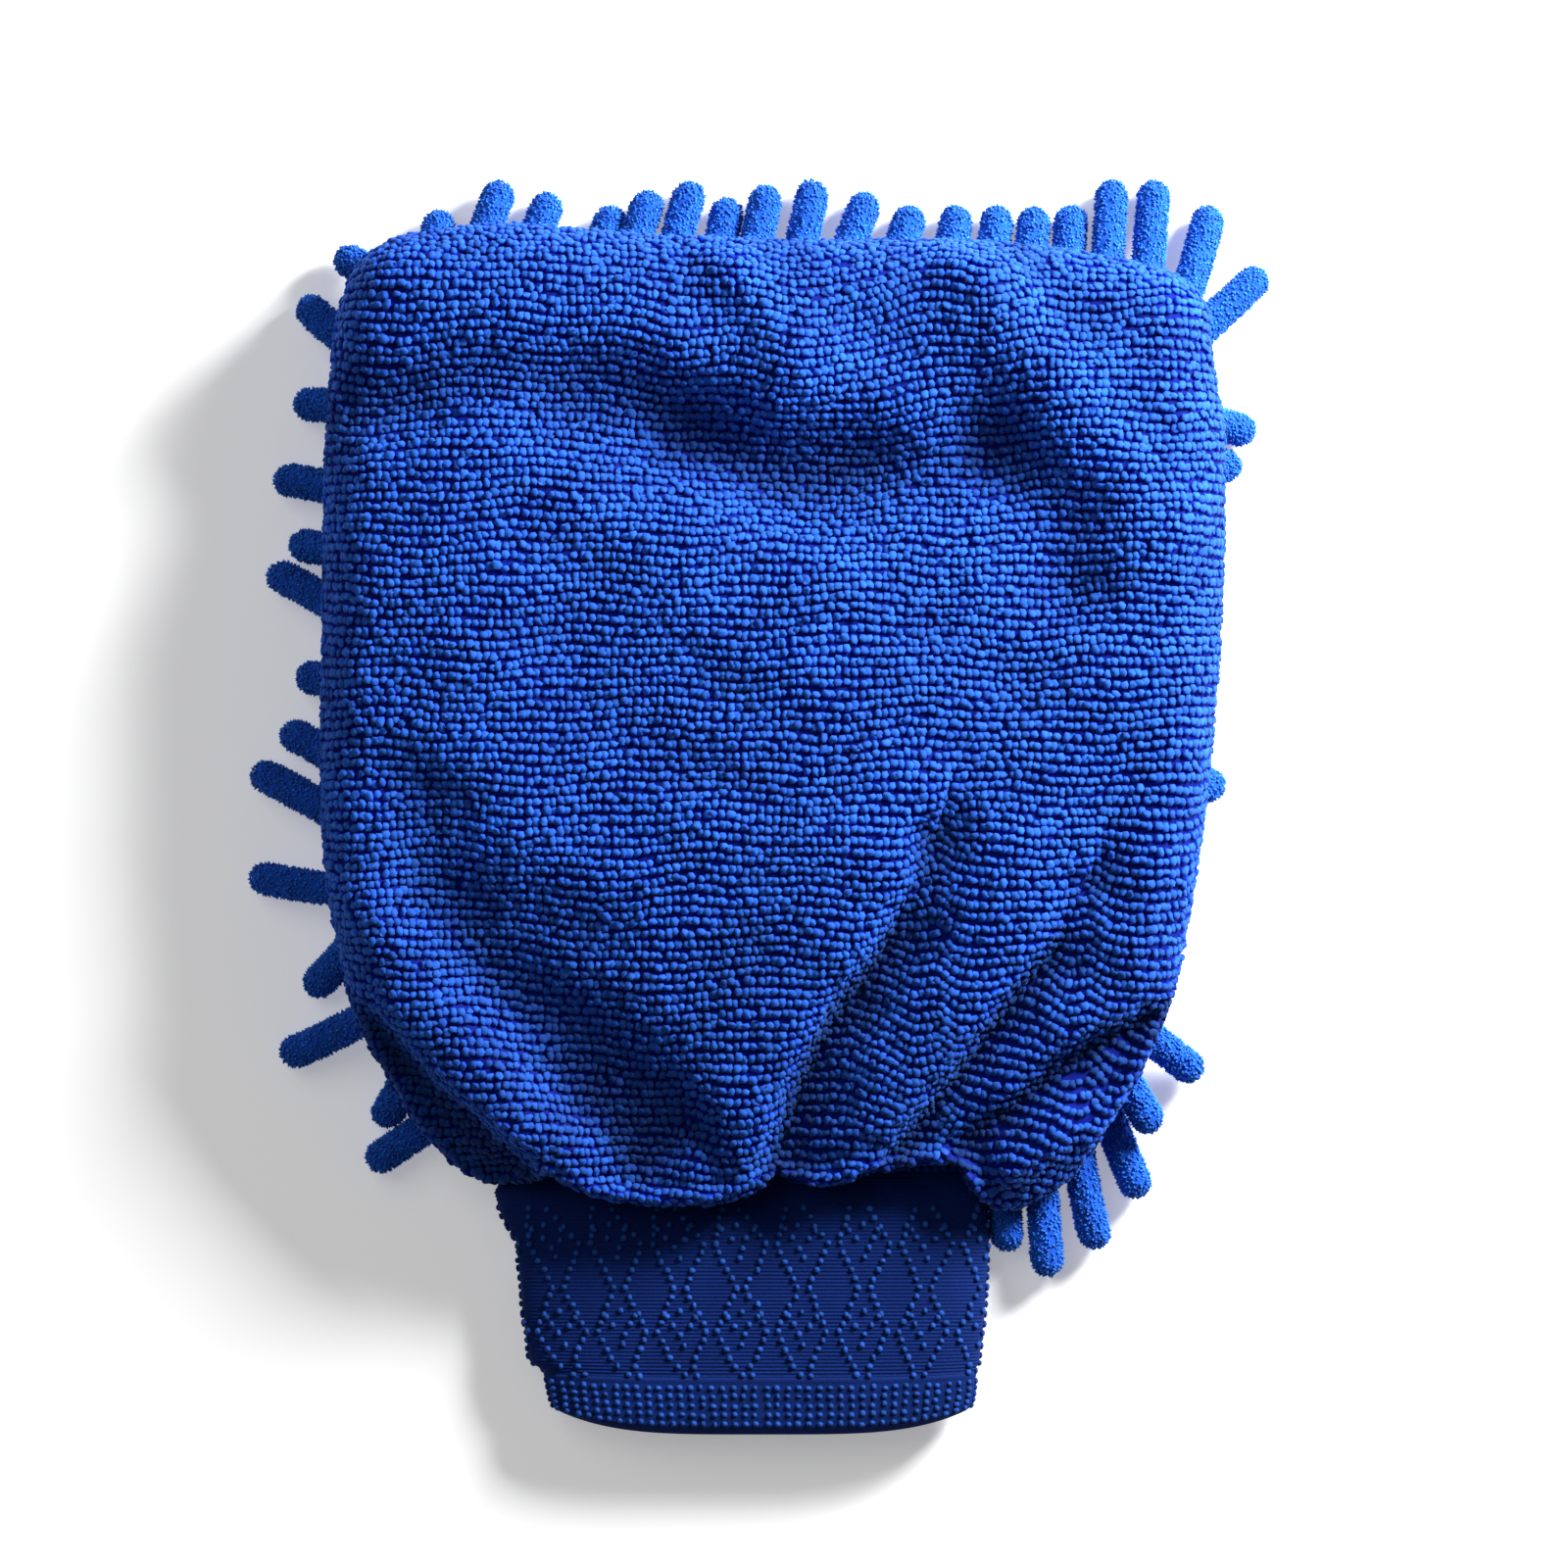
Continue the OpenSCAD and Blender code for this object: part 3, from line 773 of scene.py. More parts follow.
@dataclass
class TerryFace:
    """The looped cloth of the mitt's back: the ground cloth and its rows of loops.

    Attributes:
        surface: Its shape.
        row_pitch: Distance between rows of loops.
        loop_pitch: Distance between the loops of a row.
        loop_half: Half of a loop's size along its row, across it and away from the cloth.
        seed: Start of the loops' small irregularities.
    """

    surface: FaceSurface = field(default_factory=FaceSurface)
    row_pitch: float = 2.12
    loop_pitch: float = 1.58
    loop_half: tuple[float, float, float] = (0.98, 0.96, 0.74)
    seed: int = 11

    def ground(self) -> Shape:
        """The ground cloth: rings from the tucked edge, over the outline, in to one middle point.

        Returns:
            The cloth as a single surface.
        """
        face = self.surface
        loop = even_steps(face.loop, 1.7, closed=True)[0]
        tucked = [face.tucked(loop, t)[0][::-1] for t in np.linspace(1.0, 0.1, 8)]
        middle = np.array([2.0, 18.0])
        rings = []
        for share in np.linspace(0.0, 0.985, 84) ** 1.8:
            x, y = (loop + (middle - loop) * share)[::-1].T
            rings.append(np.stack([x, y, face.height(x, y) - 0.25], -1))
        grid = np.stack([*tucked, *rings])
        centre = np.array([[*middle, face.height(middle[:1], middle[1:])[0] - 0.25]])
        count = len(loop)
        last = (len(grid) - 1) * count
        i = np.arange(count)
        fan = np.stack([last + i, last + (i + 1) % count, np.full(count, len(grid) * count)], 1)
        return Shape(np.vstack([grid.reshape(-1, 3), centre]), [grid_faces(len(grid), count, ring=True), fan])

    def lean(self, x: Array, y: Array) -> Array:
        """How far the rows are pulled off level: down to the right past each crease, up at the left.

        Args:
            x: The places' x.
            y: Their y.

        Returns:
            The pull at each place, in millimetres along the cloth.
        """
        pull = -0.12 * np.clip(-x - 45, 0, 40)
        for crease, slope, most in ((CREASE_C, 0.12, 30), (CREASE_D, 0.15, 26), (CREASE_E, 0.24, 18)):
            pull = pull + slope * np.clip(to_path(x, y, np.asarray(crease, float))[0], 0, most)
        wave = 0.5 * np.sin(x / 9.0 + y / 17.0) + 0.4 * np.sin(x / 4.3 - y / 7.0)
        return pull * ease(y, 14.0, -60.0) + wave

    def loop_places(self, rng: np.random.Generator) -> tuple[Array, Array, Array]:
        """Places of the loops over the outline, with their normals and their rows' directions.

        Rows are lines of equal length along the cloth from y = 40, and the loops of a row are evenly
        spaced along it, so both follow the folds. Where two rows come closer than their pitch,
        the surplus is left out.

        Args:
            rng: Where the small irregularities come from.

        Returns:
            The places, normals and directions, a row for each loop.
        """
        face, step = self.surface, 0.5
        x, y = np.arange(-95.0, 99.0, step), np.arange(-86.0, 123.0, step)
        gx, gy = np.meshgrid(x, y)
        z = face.height(gx, gy)
        run = np.vstack([np.zeros(len(x)), np.cumsum(np.hypot(step, np.diff(z, axis=0)), axis=0)])
        run = run - run[int((40 - y[0]) / step)]
        for _ in range(6):
            run[:, 1:-1] = (run[:, :-2] + run[:, 1:-1] + run[:, 2:]) / 3
        run = np.maximum.accumulate(run + self.lean(gx, gy), axis=0)
        rows = np.arange(np.ceil(run.min() / self.row_pitch), run.max() / self.row_pitch) * self.row_pitch
        row_y = np.stack([np.interp(rows, run[:, k], y) for k in range(len(x))], 1)
        row_x = np.broadcast_to(x, row_y.shape)
        row_z = face.height(row_x, row_y)
        gap = np.sqrt(step**2 + np.diff(row_y, axis=1) ** 2 + np.diff(row_z, axis=1) ** 2)
        along = np.hstack([np.zeros((len(rows), 1)), np.cumsum(gap, axis=1)])
        along = along - along[:, [len(x) // 2]]
        places = []
        for k in range(len(rows)):
            at = np.arange(np.ceil(along[k, 0] / self.loop_pitch), along[k, -1] / self.loop_pitch)
            at = (at + 0.25 * rng.uniform(-1, 1) + rng.normal(0, 0.13, len(at))) * self.loop_pitch
            row_slope = np.gradient(row_y[k], step)
            places.append(np.stack([np.interp(at, along[k], v) for v in (x, row_y[k], row_slope)], 1))
        plan = np.vstack(places)
        plan[:, 1] += rng.normal(0, 0.17, len(plan))
        plan = plan[face.read(face.inwards, plan[:, 0], plan[:, 1]) > 0.12]
        points, normals = face.point_and_normal(plan[:, 0], plan[:, 1])
        slope = -normals[:, :2] / np.maximum(normals[:, 2:], 0.02)
        one, turn = np.ones(len(plan)), np.clip(plan[:, 2], -4, 4)
        row_way = unit(np.stack([one, turn, slope[:, 0] + slope[:, 1] * turn], 1))
        across_way = unit(np.stack([0 * one, one, slope[:, 1]], 1))
        apart = np.linalg.norm(np.cross(row_way, across_way), axis=1)
        keep = rng.uniform(size=len(plan)) < apart * 1.3
        return points[keep], normals[keep], row_way[keep]

    def tucked_places(self) -> tuple[Array, Array, Array]:
        """Points, normals and row directions of the loops on the edge that turns in.

        Returns:
            The three, with a row for each loop.
        """
        face = self.surface
        loop, ways = even_steps(face.loop, self.loop_pitch, closed=True)
        level = np.column_stack([ways, np.zeros(len(ways))])
        found = []
        for number, t in enumerate((0.16, 0.4, 0.62, 0.85)):
            chosen = (loop[:, 1] < -58) if number else np.ones(len(loop), bool)
            found.append([values[chosen] for values in (*face.tucked(loop, t), level)])
        return tuple(np.vstack(values) for values in zip(*found))

    def loops(self) -> dict[str, Shape]:
        """The loops in four bands from the fingertips to the gathers, each band its own shape.

        Returns:
            Each band's loops under its name.
        """
        rng = np.random.default_rng(self.seed)
        over, tucked = self.loop_places(rng), self.tucked_places()
        points, normals, ways = (np.vstack(pair) for pair in zip(over, tucked))
        across = unit(np.cross(normals, ways))
        axes = np.stack([np.cross(across, normals), across, normals], 1)
        spread = rng.normal(0, 1, points.shape)
        axes = unit(axes + 0.07 * spread[:, None, :] * np.array([1.0, 1.0, 0.6])[None, :, None])
        sizes = np.array(self.loop_half) * (1 + 0.11 * rng.normal(0, 1, points.shape))
        places = points + normals * rng.uniform(-0.2, 0.25, (len(points), 1))
        # Random brightness for each loop, times the painted shade of the hollows and the gathers.
        tone_and_painted_shade = (1 + 0.10 * rng.normal(0, 1, len(points))) * self.surface.painted_shade(points[:, 0], points[:, 1])
        unit_loop = bead(6, ((-0.6, 0.78), (0.3, 1.0), (0.8, 0.80)), 0.94, -0.9)
        LOG.info("%d loops", len(points))
        bands = {"tip": (60, 200), "upper": (5, 60), "lower": (-44, 5), "gathers": (-200, -44)}
        made = {}
        for name, (low, high) in bands.items():
            k = (points[:, 1] >= low) & (points[:, 1] < high)
            made[name] = stamp(unit_loop, places[k], axes[k], sizes[k], tone_and_painted_shade[k])
            made[name].verts += 0.10 * rng.normal(0, 1, made[name].verts.shape)
        return made

    def build(self, dyer: Dyer) -> list[bpy.types.Object]:
        """Args:
            dyer: What makes the finishes.

        Returns:
            The cloth, and then its bands of loops.
        """
        cloth = thicken(dyer.piece("terry_cloth", self.ground(), Dye.CLOTH), 0.9)
        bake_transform(cloth)
        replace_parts(cloth, "terry_face")
        pile = []
        for band, shape in self.loops().items():
            piece = dyer.piece(f"terry_loops_{band}", shape, Dye.LOOPS)
            if band == "gathers":
                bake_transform(piece)
            else:
                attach(piece, "mitt")
            pile.append(piece)
        return [cloth, *pile]


# ---------------------------------------------------------------- the chenille noodles

# A noodle's radius, the height of its root, and the spacing of the palm's noodles and of their rows.
R = 3.4
ROOT_Z = 9.3
NOODLE_PITCH = 14.8
ROW_PITCH = 11.0
# Where the noodles that lie towards the wrist have their roots and their tips.
WRIST_ROOT_Y = -42.4
WRIST_TIP_Y = -56.0
# Height of a row's tape, and where the necks on a tape end.
TAPE_Z = 12.7
NECK_TOP = 13.2
# The rim's noodles: for each its root's and tip's x and y, then the root's and the tip's z.
RIMS: dict[str, tuple[tuple[float, ...], ...]] = {
    "rim_noodles_top": (
        (-68, 102, -66, 119, ROOT_Z, 3.6), (-60, 108, -53.9, 125.1, ROOT_Z, 4),
        (-52, 107.5, -44.2, 122.8, ROOT_Z, R), (-37, 104, -31, 120, ROOT_Z, R),
        (-28.5, 104, -23, 123, ROOT_Z, 4.2), (-19.5, 104, -14.5, 125, ROOT_Z, R),
        (-11.2, 104, -7, 121.6, ROOT_Z, R), (-3, 106, 1, 124.2, ROOT_Z, 4.4),
        (4.6, 104, 10.4, 125.3, ROOT_Z, 4), (13, 105, 21, 122.8, ROOT_Z, R),
        (25, 104, 30.5, 120, ROOT_Z, R), (36, 104, 40, 120, ROOT_Z, R),
        (45, 104, 48.4, 120, ROOT_Z, R), (54, 104, 56.2, 119.7, ROOT_Z, R),
        (63, 104, 64, 120, ROOT_Z, R), (71, 105, 72.4, 125.3, ROOT_Z, R),
        (79.2, 106, 81, 125.2, ROOT_Z, R), (87, 104.5, 91.8, 120, ROOT_Z, R),
        (87.5, 95, 101.1, 107.6, ROOT_Z, R),
    ),
    "rim_noodles_left": (
        (-75.6, 107.2, -83.8, 112, ROOT_Z, 4.4), (-80, 92, -91.6, 101.8, ROOT_Z, R),
        (-82, 82, -92, 82.8, ROOT_Z, 4), (-81.8, 64, -96.2, 67, ROOT_Z, R),
        (-82, 52.4, -93, 53.8, ROOT_Z, R), (-82, 38, -97.6, 47, ROOT_Z, R),
        (-82, 26.4, -91.6, 26.8, ROOT_Z, R), (-82, 6.2, -95, 14.2, ROOT_Z, R),
        (-82, -4.4, -101, 6, ROOT_Z, R), (-81.8, -17, -101.1, -14.6, ROOT_Z, R),
    ),
    "rim_noodles_right": (
        (85.6, 81, 98.3, 77.8, ROOT_Z, 3.6), (84.6, 67.6, 95.4, 70, ROOT_Z, R),
        (83, 54, 90, 56, ROOT_Z, R), (83, 38.4, 90.2, 38, ROOT_Z, R),
        (83, 21, 89.4, 19.6, ROOT_Z, R), (82, 2, 92, 4.6, ROOT_Z, R), (82, -14, 85, -18.6, ROOT_Z, R),
    ),
    "rim_noodles_lower_left": (
        (-81.4, -25.6, -90.2, -35.4, ROOT_Z, R), (-78.6, -41.4, -95, -49.8, ROOT_Z, R),
        (-70.4, -50, -76.4, -62, 8, R), (-63.8, -63, -77.2, -71.6, R, R),
    ),
    "rim_noodles_lower_right": (
        (75.6, -44, 87.6, -53, ROOT_Z, 4.4), (71, -50.6, 79, -63.2, ROOT_Z, 8.6),
        (70.2, -59.8, 77, -76.6, R, R), (64.8, -65.2, 68.8, -87, R, R),
        (57.9, -67, 59.2, -92.6, R, R), (50.9, -69, 50.9, -87.4, R, R),
    ),
}


def palm_row(number: int) -> Array:
    """A stitched row's noodles: roots along y, staggered on every second row, tips towards +Y.

    Args:
        number: The row's number, from 1 at the wrist.

    Returns:
        The noodles' axes, as in RIMS.
    """
    half = (9 + number % 2) / 2
    x = np.arange(-half, half + 0.5) * NOODLE_PITCH
    y = -31.0 + (number - 1) * ROW_PITCH
    one = np.ones_like(x)
    return np.stack([x, y * one, x, (y + 15.6) * one, ROOT_Z * one, R * one], 1)


def wrist_row() -> Array:
    """The nine noodles that lie towards the wrist, tips towards -Y.

    Returns:
        The noodles' axes, as in RIMS.
    """
    row = palm_row(1)[:9].copy()
    row[:, 0] = row[:, 2] = np.arange(-4, 5) * NOODLE_PITCH
    row[:, 1], row[:, 3] = WRIST_ROOT_Y, WRIST_TIP_Y
    return row


@dataclass
class Noodles:
    """A stretch of chenille noodles: thick soft yarns of cut pile, each stitched down by its root.

    Attributes:
        name: The CAD node that it stands for.
        axes: For each noodle its root's and tip's x and y, then the root's and the tip's z.
        sides: Points round a noodle.
        rings: Rings along a noodle.
        tufts: Tufts of pile on a noodle.
        tape: Whether the roots are stitched on a tape.
        core_r: Radius of the core that the tufts stand on.
        bend: Most that a noodle bows to a side.
        twist_mm: Pitch of the twist along the core.
    """

    name: str
    axes: Array
    sides: int = 16
    rings: int = 22
    tufts: int = 900
    tape: bool = False
    core_r: float = 3.25
    bend: float = 0.7
    twist_mm: float = 3.1

    def skeleton(self, rng: np.random.Generator) -> tuple[Array, Array, Array, Array, Array]:
        """Each noodle's two ends, its direction, the direction to its side, and a small random bow.

        Args:
            rng: Where the bows come from.

        Returns:
            The five, with a row for each noodle.
        """
        root = self.axes[:, [0, 1, 4]]
        tip = self.axes[:, [2, 3, 5]]
        way = unit(tip - root)
        start, end = root - way * self.core_r, tip + way * (self.core_r + 0.25)
        side = unit(np.cross(way, [0.0, 0.0, 1.0]))
        bow = side * rng.uniform(-self.bend, self.bend, (len(root), 1))
        return start, end, way, side, bow

    def along(self, s: Array, angle: Array, radius: Array, bones: tuple[Array, ...]) -> tuple[Array, Array]:
        """Points of the noodles' surfaces.

        Args:
            s: Share of the way from root to tip, one row for each noodle.
            angle: The turn round the axis.
            radius: The distance from the axis in the straight part. Both ends are round.
            bones: What skeleton gave.

        Returns:
            The points, and the unit directions away from the axis.
        """
        start, end, way, side, bow = (b[:, None, :] for b in bones)
        length = np.linalg.norm(end - start, axis=-1)
        at = s * length
        cap = np.minimum(np.minimum(at, length - at) / self.core_r, 1.0)
        round_end = np.sqrt(np.maximum(1 - (1 - cap) ** 2, 0.0))
        up = np.cross(side, way)
        out = side * np.cos(angle)[..., None] + up * np.sin(angle)[..., None]
        lean = np.where(at < 0.5 * length, -1.0, 1.0) * (1 - cap)
        centre = start + (end - start) * s[..., None] + bow * (4 * s * (1 - s))[..., None]
        away = unit(out * round_end[..., None] + way * lean[..., None])
        return centre + out * (radius * round_end)[..., None], away

    def shape(self) -> Shape:
        """The cores with their twist, their tufts of pile, their necks and their tape.

        Returns:
            The stretch as one shape.
        """
        rng = np.random.default_rng(len(self.name) * 97 + int(abs(self.axes).sum()) % 1000)
        bones = self.skeleton(rng)
        count = len(self.axes)
        share = 0.5 - 0.5 * np.cos(np.pi * (np.arange(self.rings) + 1) / (self.rings + 1))
        share = 0.55 * share + 0.45 * (np.arange(self.rings) + 1) / (self.rings + 1)
        unit_core = bead(self.sides, tuple((s, 1.0) for s in share), 1.0, 0.0)
        s = np.broadcast_to(unit_core.verts[:, 2], (count, len(unit_core.verts)))
        angle = np.broadcast_to(np.arctan2(unit_core.verts[:, 1], unit_core.verts[:, 0]), s.shape)
        length = np.linalg.norm(bones[1] - bones[0], axis=-1)[:, None]
        turn = 2 * np.pi * s * length / self.twist_mm + 2 * angle + rng.uniform(0, 6, (count, 1))
        core = self.along(s, angle, self.core_r + 0.16 * np.sin(turn) - 0.1, bones)[0]
        first = (np.arange(count) * len(unit_core.verts))[:, None, None]
        # Painted shade: the core takes nearly the dark root colour, and each tuft darkens from its tip to its
        # base.
        parts = [Shape(core.reshape(-1, 3), [(unit_core.faces[0][None] + first).reshape(-1, 3)],
                       {"height": np.full(core.size // 3, 0.1), "tone_and_painted_shade": np.ones(core.size // 3)})]
        number = np.arange(self.tufts)
        s = (number + 0.5)[None] / self.tufts + rng.normal(0, 0.004, (count, self.tufts))
        angle = (number * 2.39996)[None] + rng.normal(0, 0.16, (count, self.tufts))
        places, out = self.along(np.clip(s, 0.004, 0.996), angle, np.full_like(s, self.core_r - 0.2), bones)
        places, out = places.reshape(-1, 3), unit(out.reshape(-1, 3) + 0.32 * rng.normal(0, 1, (s.size, 3)))
        side = unit(np.cross(out, rng.normal(0, 1, (s.size, 3))))
        tuft_axes = np.stack([side, np.cross(out, side), out], 1)
        tuft_sizes = np.array([0.46, 0.46, 0.78]) * rng.uniform(0.75, 1.2, (s.size, 1))
        tone_and_painted_shade = 1 + 0.13 * rng.normal(0, 1, s.size)
        parts.append(stamp(tuft(), places, tuft_axes, tuft_sizes, tone_and_painted_shade))
        neck_low = self.axes[:, 4]
        under = palm_under(self.axes[:, 0], self.axes[:, 1])
        neck_high = np.full(count, NECK_TOP) if self.tape else under + 0.2
        middle = np.stack([self.axes[:, 0], self.axes[:, 1], 0.5 * (neck_low + neck_high)], 1)
        upright = np.broadcast_to(np.eye(3), (count, 3, 3))
        neck = bead(10, ((-0.98, 0.9), (-0.4, 0.82), (0.4, 0.82), (0.98, 0.95)), 1.0, -1.0)
        half = np.stack([np.full(count, 1.8), np.full(count, 1.8), 0.5 * (neck_high - neck_low)], 1)
        parts.append(stamp(neck, middle, upright, half, np.full(count, 0.7)))
        if self.tape:
            reach = abs(self.axes[:, 0]).max() + R
            place = np.array([[0.0, self.axes[0, 1], TAPE_Z]])
            strip = bead(28, ((-0.9, 0.985), (0.9, 0.985)), 1.0, -1.0)
            strip.verts[:, :2] = signed_power(strip.verts[:, :2], 0.35)
            parts.append(stamp(strip, place, np.eye(3)[None], np.array([[reach, 2.5, 0.3]]), np.array([0.6])))
        return join_shapes(parts)

    def build(self, dyer: Dyer) -> bpy.types.Object:
        """Makes the stretch in place of its CAD node."""
        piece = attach(dyer.piece(f"{self.name}_pile", self.shape(), Dye.NOODLES), "mitt")
        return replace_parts(piece, self.name)


def tuft() -> Shape:
    """One tuft of cut pile: a small three-sided spike, closed below.

    Returns:
        The spike, with a base radius and a height of 1.
    """
    turn = 2 * np.pi * np.arange(3) / 3
    base = np.stack([np.cos(turn), np.sin(turn), np.full(3, 0.0)], 1)
    faces = np.array([[0, 1, 3], [1, 2, 3], [2, 0, 3], [2, 1, 0]])
    return Shape(np.vstack([base, [[0, 0, 1.0]]]), [faces])


# ---------------------------------------------------------------- the palm cloth

# How thick the mesh is with its stitches, and how round the trough's section is.
MESH_WALL = 1.2
BOWL_POWER = 0.7
# Stations of the palm: y, left x, right x, depth of the trough, z of its edges.
PALM = np.array([
    [-74.2, -45.5, 43.2, 3.0, 4.6], [-73, -47, 44.6, 3.1, 5.4], [-72, -49, 47, 3.4, 8.4],
    [-70, -54, 53, 3.6, 9.4], [-66, -65, 67, 3.2, 11.9], [-60, -71, 73.5, 1, 13.4],
    [-52, -77, 79, 0, 14.2], [-45, -79.8, 81.4, 0, 14.2], [-30, -84, 85.5, 0, 14.2],
    [-15, -87.5, 88, 0, 14.2], [5, -89, 90.8, 0, 14.2], [35, -89, 94, 0, 14.2], [75, -88.2, 94.5, 0, 14.2],
    [95, -86.5, 92.5, 0, 14.2], [105, -84.5, 90.8, 0, 14.2], [111, -81.5, 86.5, 0, 14.2],
    [114.2, -76, 80, 0, 14.2], [116.4, -69, 73, 0, 14.2], [117.2, -64, 68, 0, 14.2],
])
# The palm's edge at the fingertips, where it slants down to the right under the face.
TOP_EDGE = np.array([
    [-90, 112], [-84, 112], [-76, 116], [-66, 118.4], [-6, 117], [42, 116.4], [62, 114.4], [79, 111.4],
    [87.6, 107.8], [92, 102], [96, 96],
])


def palm_at(y: Array) -> list[Array]:
    """Left x, right x, trough depth and edge height of the palm at any y."""
    return [np.interp(y, PALM[:, 0], PALM[:, k]) for k in (1, 2, 3, 4)]


def bowl(across: Array) -> Array:
    """The trough's section: 1 in the palm's middle and 0 at its edges, where across is 1 or -1."""
    return np.maximum(0, 1 - np.abs(across) ** (2 / BOWL_POWER)) ** (0.5 * BOWL_POWER)


def palm_under(x: Array, y: Array) -> Array:
    """Underside of the palm over the plan: the edge's height less the trough and the mesh.

    Args:
        x: The places' x.
        y: Their y.

    Returns:
        The height at each place.
    """
    left, right, trough, edge = palm_at(y)
    across = np.minimum(1.0, np.abs(x - 0.5 * (left + right)) / (0.5 * (right - left)))
    return edge - trough * bowl(across) - MESH_WALL


@dataclass(frozen=True)
class PalmCloth:
    """A flat cloth of the palm over the stations, thickened.

    Attributes:
        name: The piece's name.
        node: The CAD node that it stands for.
        dye: Its finish.
        inset: How far it stays inside the palm's edge.
        lift: How far it lies above the mesh's top.
        low: The lowest y.
        high: The highest y.
        wall: Its thickness.
        row_step: Spacing of its points along y.
        columns: How many points go across it.
    """

    name: str
    node: str
    dye: Dye
    inset: float
    lift: float
    low: float
    high: float
    wall: float
    row_step: float = 1.6
    columns: int = 116

    def shape(self) -> Shape:
        """A grid over the palm with small ripples of the knit. Its top is its outer side.

        Returns:
            The cloth as a single surface.
        """
        count = int((self.high - self.low) / self.row_step)
        y = self.low + (self.high - self.low) * np.linspace(0, 1, count)
        left, right, trough, edge = palm_at(y)
        f = np.linspace(-1, 1, self.columns)
        across = signed_power(np.sin(0.5 * np.pi * f), 0.8)
        half, middle = 0.5 * (right - left) - self.inset, 0.5 * (right + left)
        x = middle[:, None] + half[:, None] * across[None]
        z = edge[:, None] - trough[:, None] * bowl(across)[None] + self.lift
        z = z + 0.08 * np.sin(x / 1.3) * np.sin(y[:, None] / 1.1)
        top = np.interp(x, TOP_EDGE[:, 0], TOP_EDGE[:, 1]) - 2.0
        grid = np.stack([x, np.minimum(y[:, None], top), z], -1)
        return Shape(grid.reshape(-1, 3), [grid_faces(len(y), len(f))])

    def build(self, dyer: Dyer, flat: Point, blended: bool, rests_on: list[str]) -> bpy.types.Object:
        """Args:
            dyer: What makes the finishes.
            flat: Width and length of the sheet, in metres. Not used.
            blended: Whether it is left unattached, rather than attached to the mitt.
            rests_on: The pieces that it lies on. Not used.

        Returns:
            The cloth.
        """
        piece = thicken(dyer.piece(self.name, self.shape(), self.dye), self.wall)
        if blended:
            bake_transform(piece)
        else:
            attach(piece, "mitt")
        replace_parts(piece, self.node)
        return piece


# ---------------------------------------------------------------- the cuff

# Height of the cuff's middle, where the hem band starts, the power of the sleeve's section, and the
# half width and half height at which places round it are measured.
CUFF_Z = 5.4
HEM_TOP = -116.6
SECTION_POWER = 0.55
MEASURED_AT = (47.6, 5.4)
# How far the mouth's corners bow up the cuff, where the bow starts and how long it is.
BOW, BOW_START, BOW_RUN = 4.6, -108.0, 20.7
# Stations of the sleeve from the mouth to the seam: y, middle x, half width, half height.
SLEEVE = np.array([
    [-128.7, 0.5, 42.2, 5.2], [-125, 0.4, 43.2, 5.4], [-120, 0.3, 43.8, 5.4], [-116.5, 0.0, 44.3, 5.4],
    [-114, -1.1, 46.2, 5.4], [-104, -1.2, 47.4, 5.4], [-96, -1.3, 48.0, 5.4], [-89, -1.5, 48.6, 5.4],
    [-84, -3.0, 50.0, 5.4], [-79, -3.9, 50.6, 5.2], [-75, -3.2, 49.2, 4.9], [-73, -2.0, 47.4, 4.6],
])


class Sleeve:
    """The flattened tube of the cuff, on which its cloths, bands and dots all lie."""

    def __init__(self) -> None:
        """Measures round the tube once, so that its places can be given in millimetres round it."""
        turn = np.linspace(0, 2 * np.pi, 2001)
        round_part = [signed_power(f(turn), SECTION_POWER) for f in (np.sin, np.cos)]
        ring = np.stack([half * part for half, part in zip(MEASURED_AT, round_part)], 1)
        gap = np.linalg.norm(np.diff(ring, axis=0), axis=1)
        self.turn = turn
        self.run = np.concatenate([[0.0], np.cumsum(gap)])
        self.girth = self.run[-1]

    def place(self, u: Array, y: Array, inset: Array | float = 0.0) -> Array:
        """A point on the tube.

        The section is a superellipse. Near the mouth a course's two ends lie further up the cuff, by
        BOW times the square of the way past BOW_START, times the fourth power of side.

        Args:
            u: Millimetres round the tube from the middle of its top, towards +X.
            y: Where along the tube.
            inset: How far inside the outer ply's surface.

        Returns:
            The points, with a last axis of three.
        """
        u, y, inset = np.broadcast_arrays(np.asarray(u, float), np.asarray(y, float), inset)
        turn = np.interp(np.mod(u, self.girth), self.run, self.turn)
        middle, half, tall = (np.interp(y, SLEEVE[:, 0], SLEEVE[:, k]) for k in (1, 2, 3))
        side = signed_power(np.sin(turn), SECTION_POWER)
        bow = BOW * (np.maximum(0.0, BOW_START - y) / BOW_RUN) ** 2 * side**4
        z = CUFF_Z + (tall - inset) * signed_power(np.cos(turn), SECTION_POWER)
        return np.stack([middle + (half - inset) * side, y + bow, z], -1)

    def frame(self, u: Array, y: Array, inset: float = 0.0) -> tuple[Array, Array]:
        """Points on the tube, and their axes as rows: round it, along it and out of it.

        Args:
            u: Millimetres round the tube.
            y: Where along the tube.
            inset: How far inside the outer ply's surface.

        Returns:
            The points and the axes.
        """
        place = self.place(u, y, inset)
        around = unit(self.place(u + 0.4, y, inset) - self.place(u - 0.4, y, inset))
        along = unit(self.place(u, y + 0.4, inset) - self.place(u, y - 0.4, inset))
        out = unit(np.cross(around, along))
        return place, np.stack([around, np.cross(out, around), out], -2)


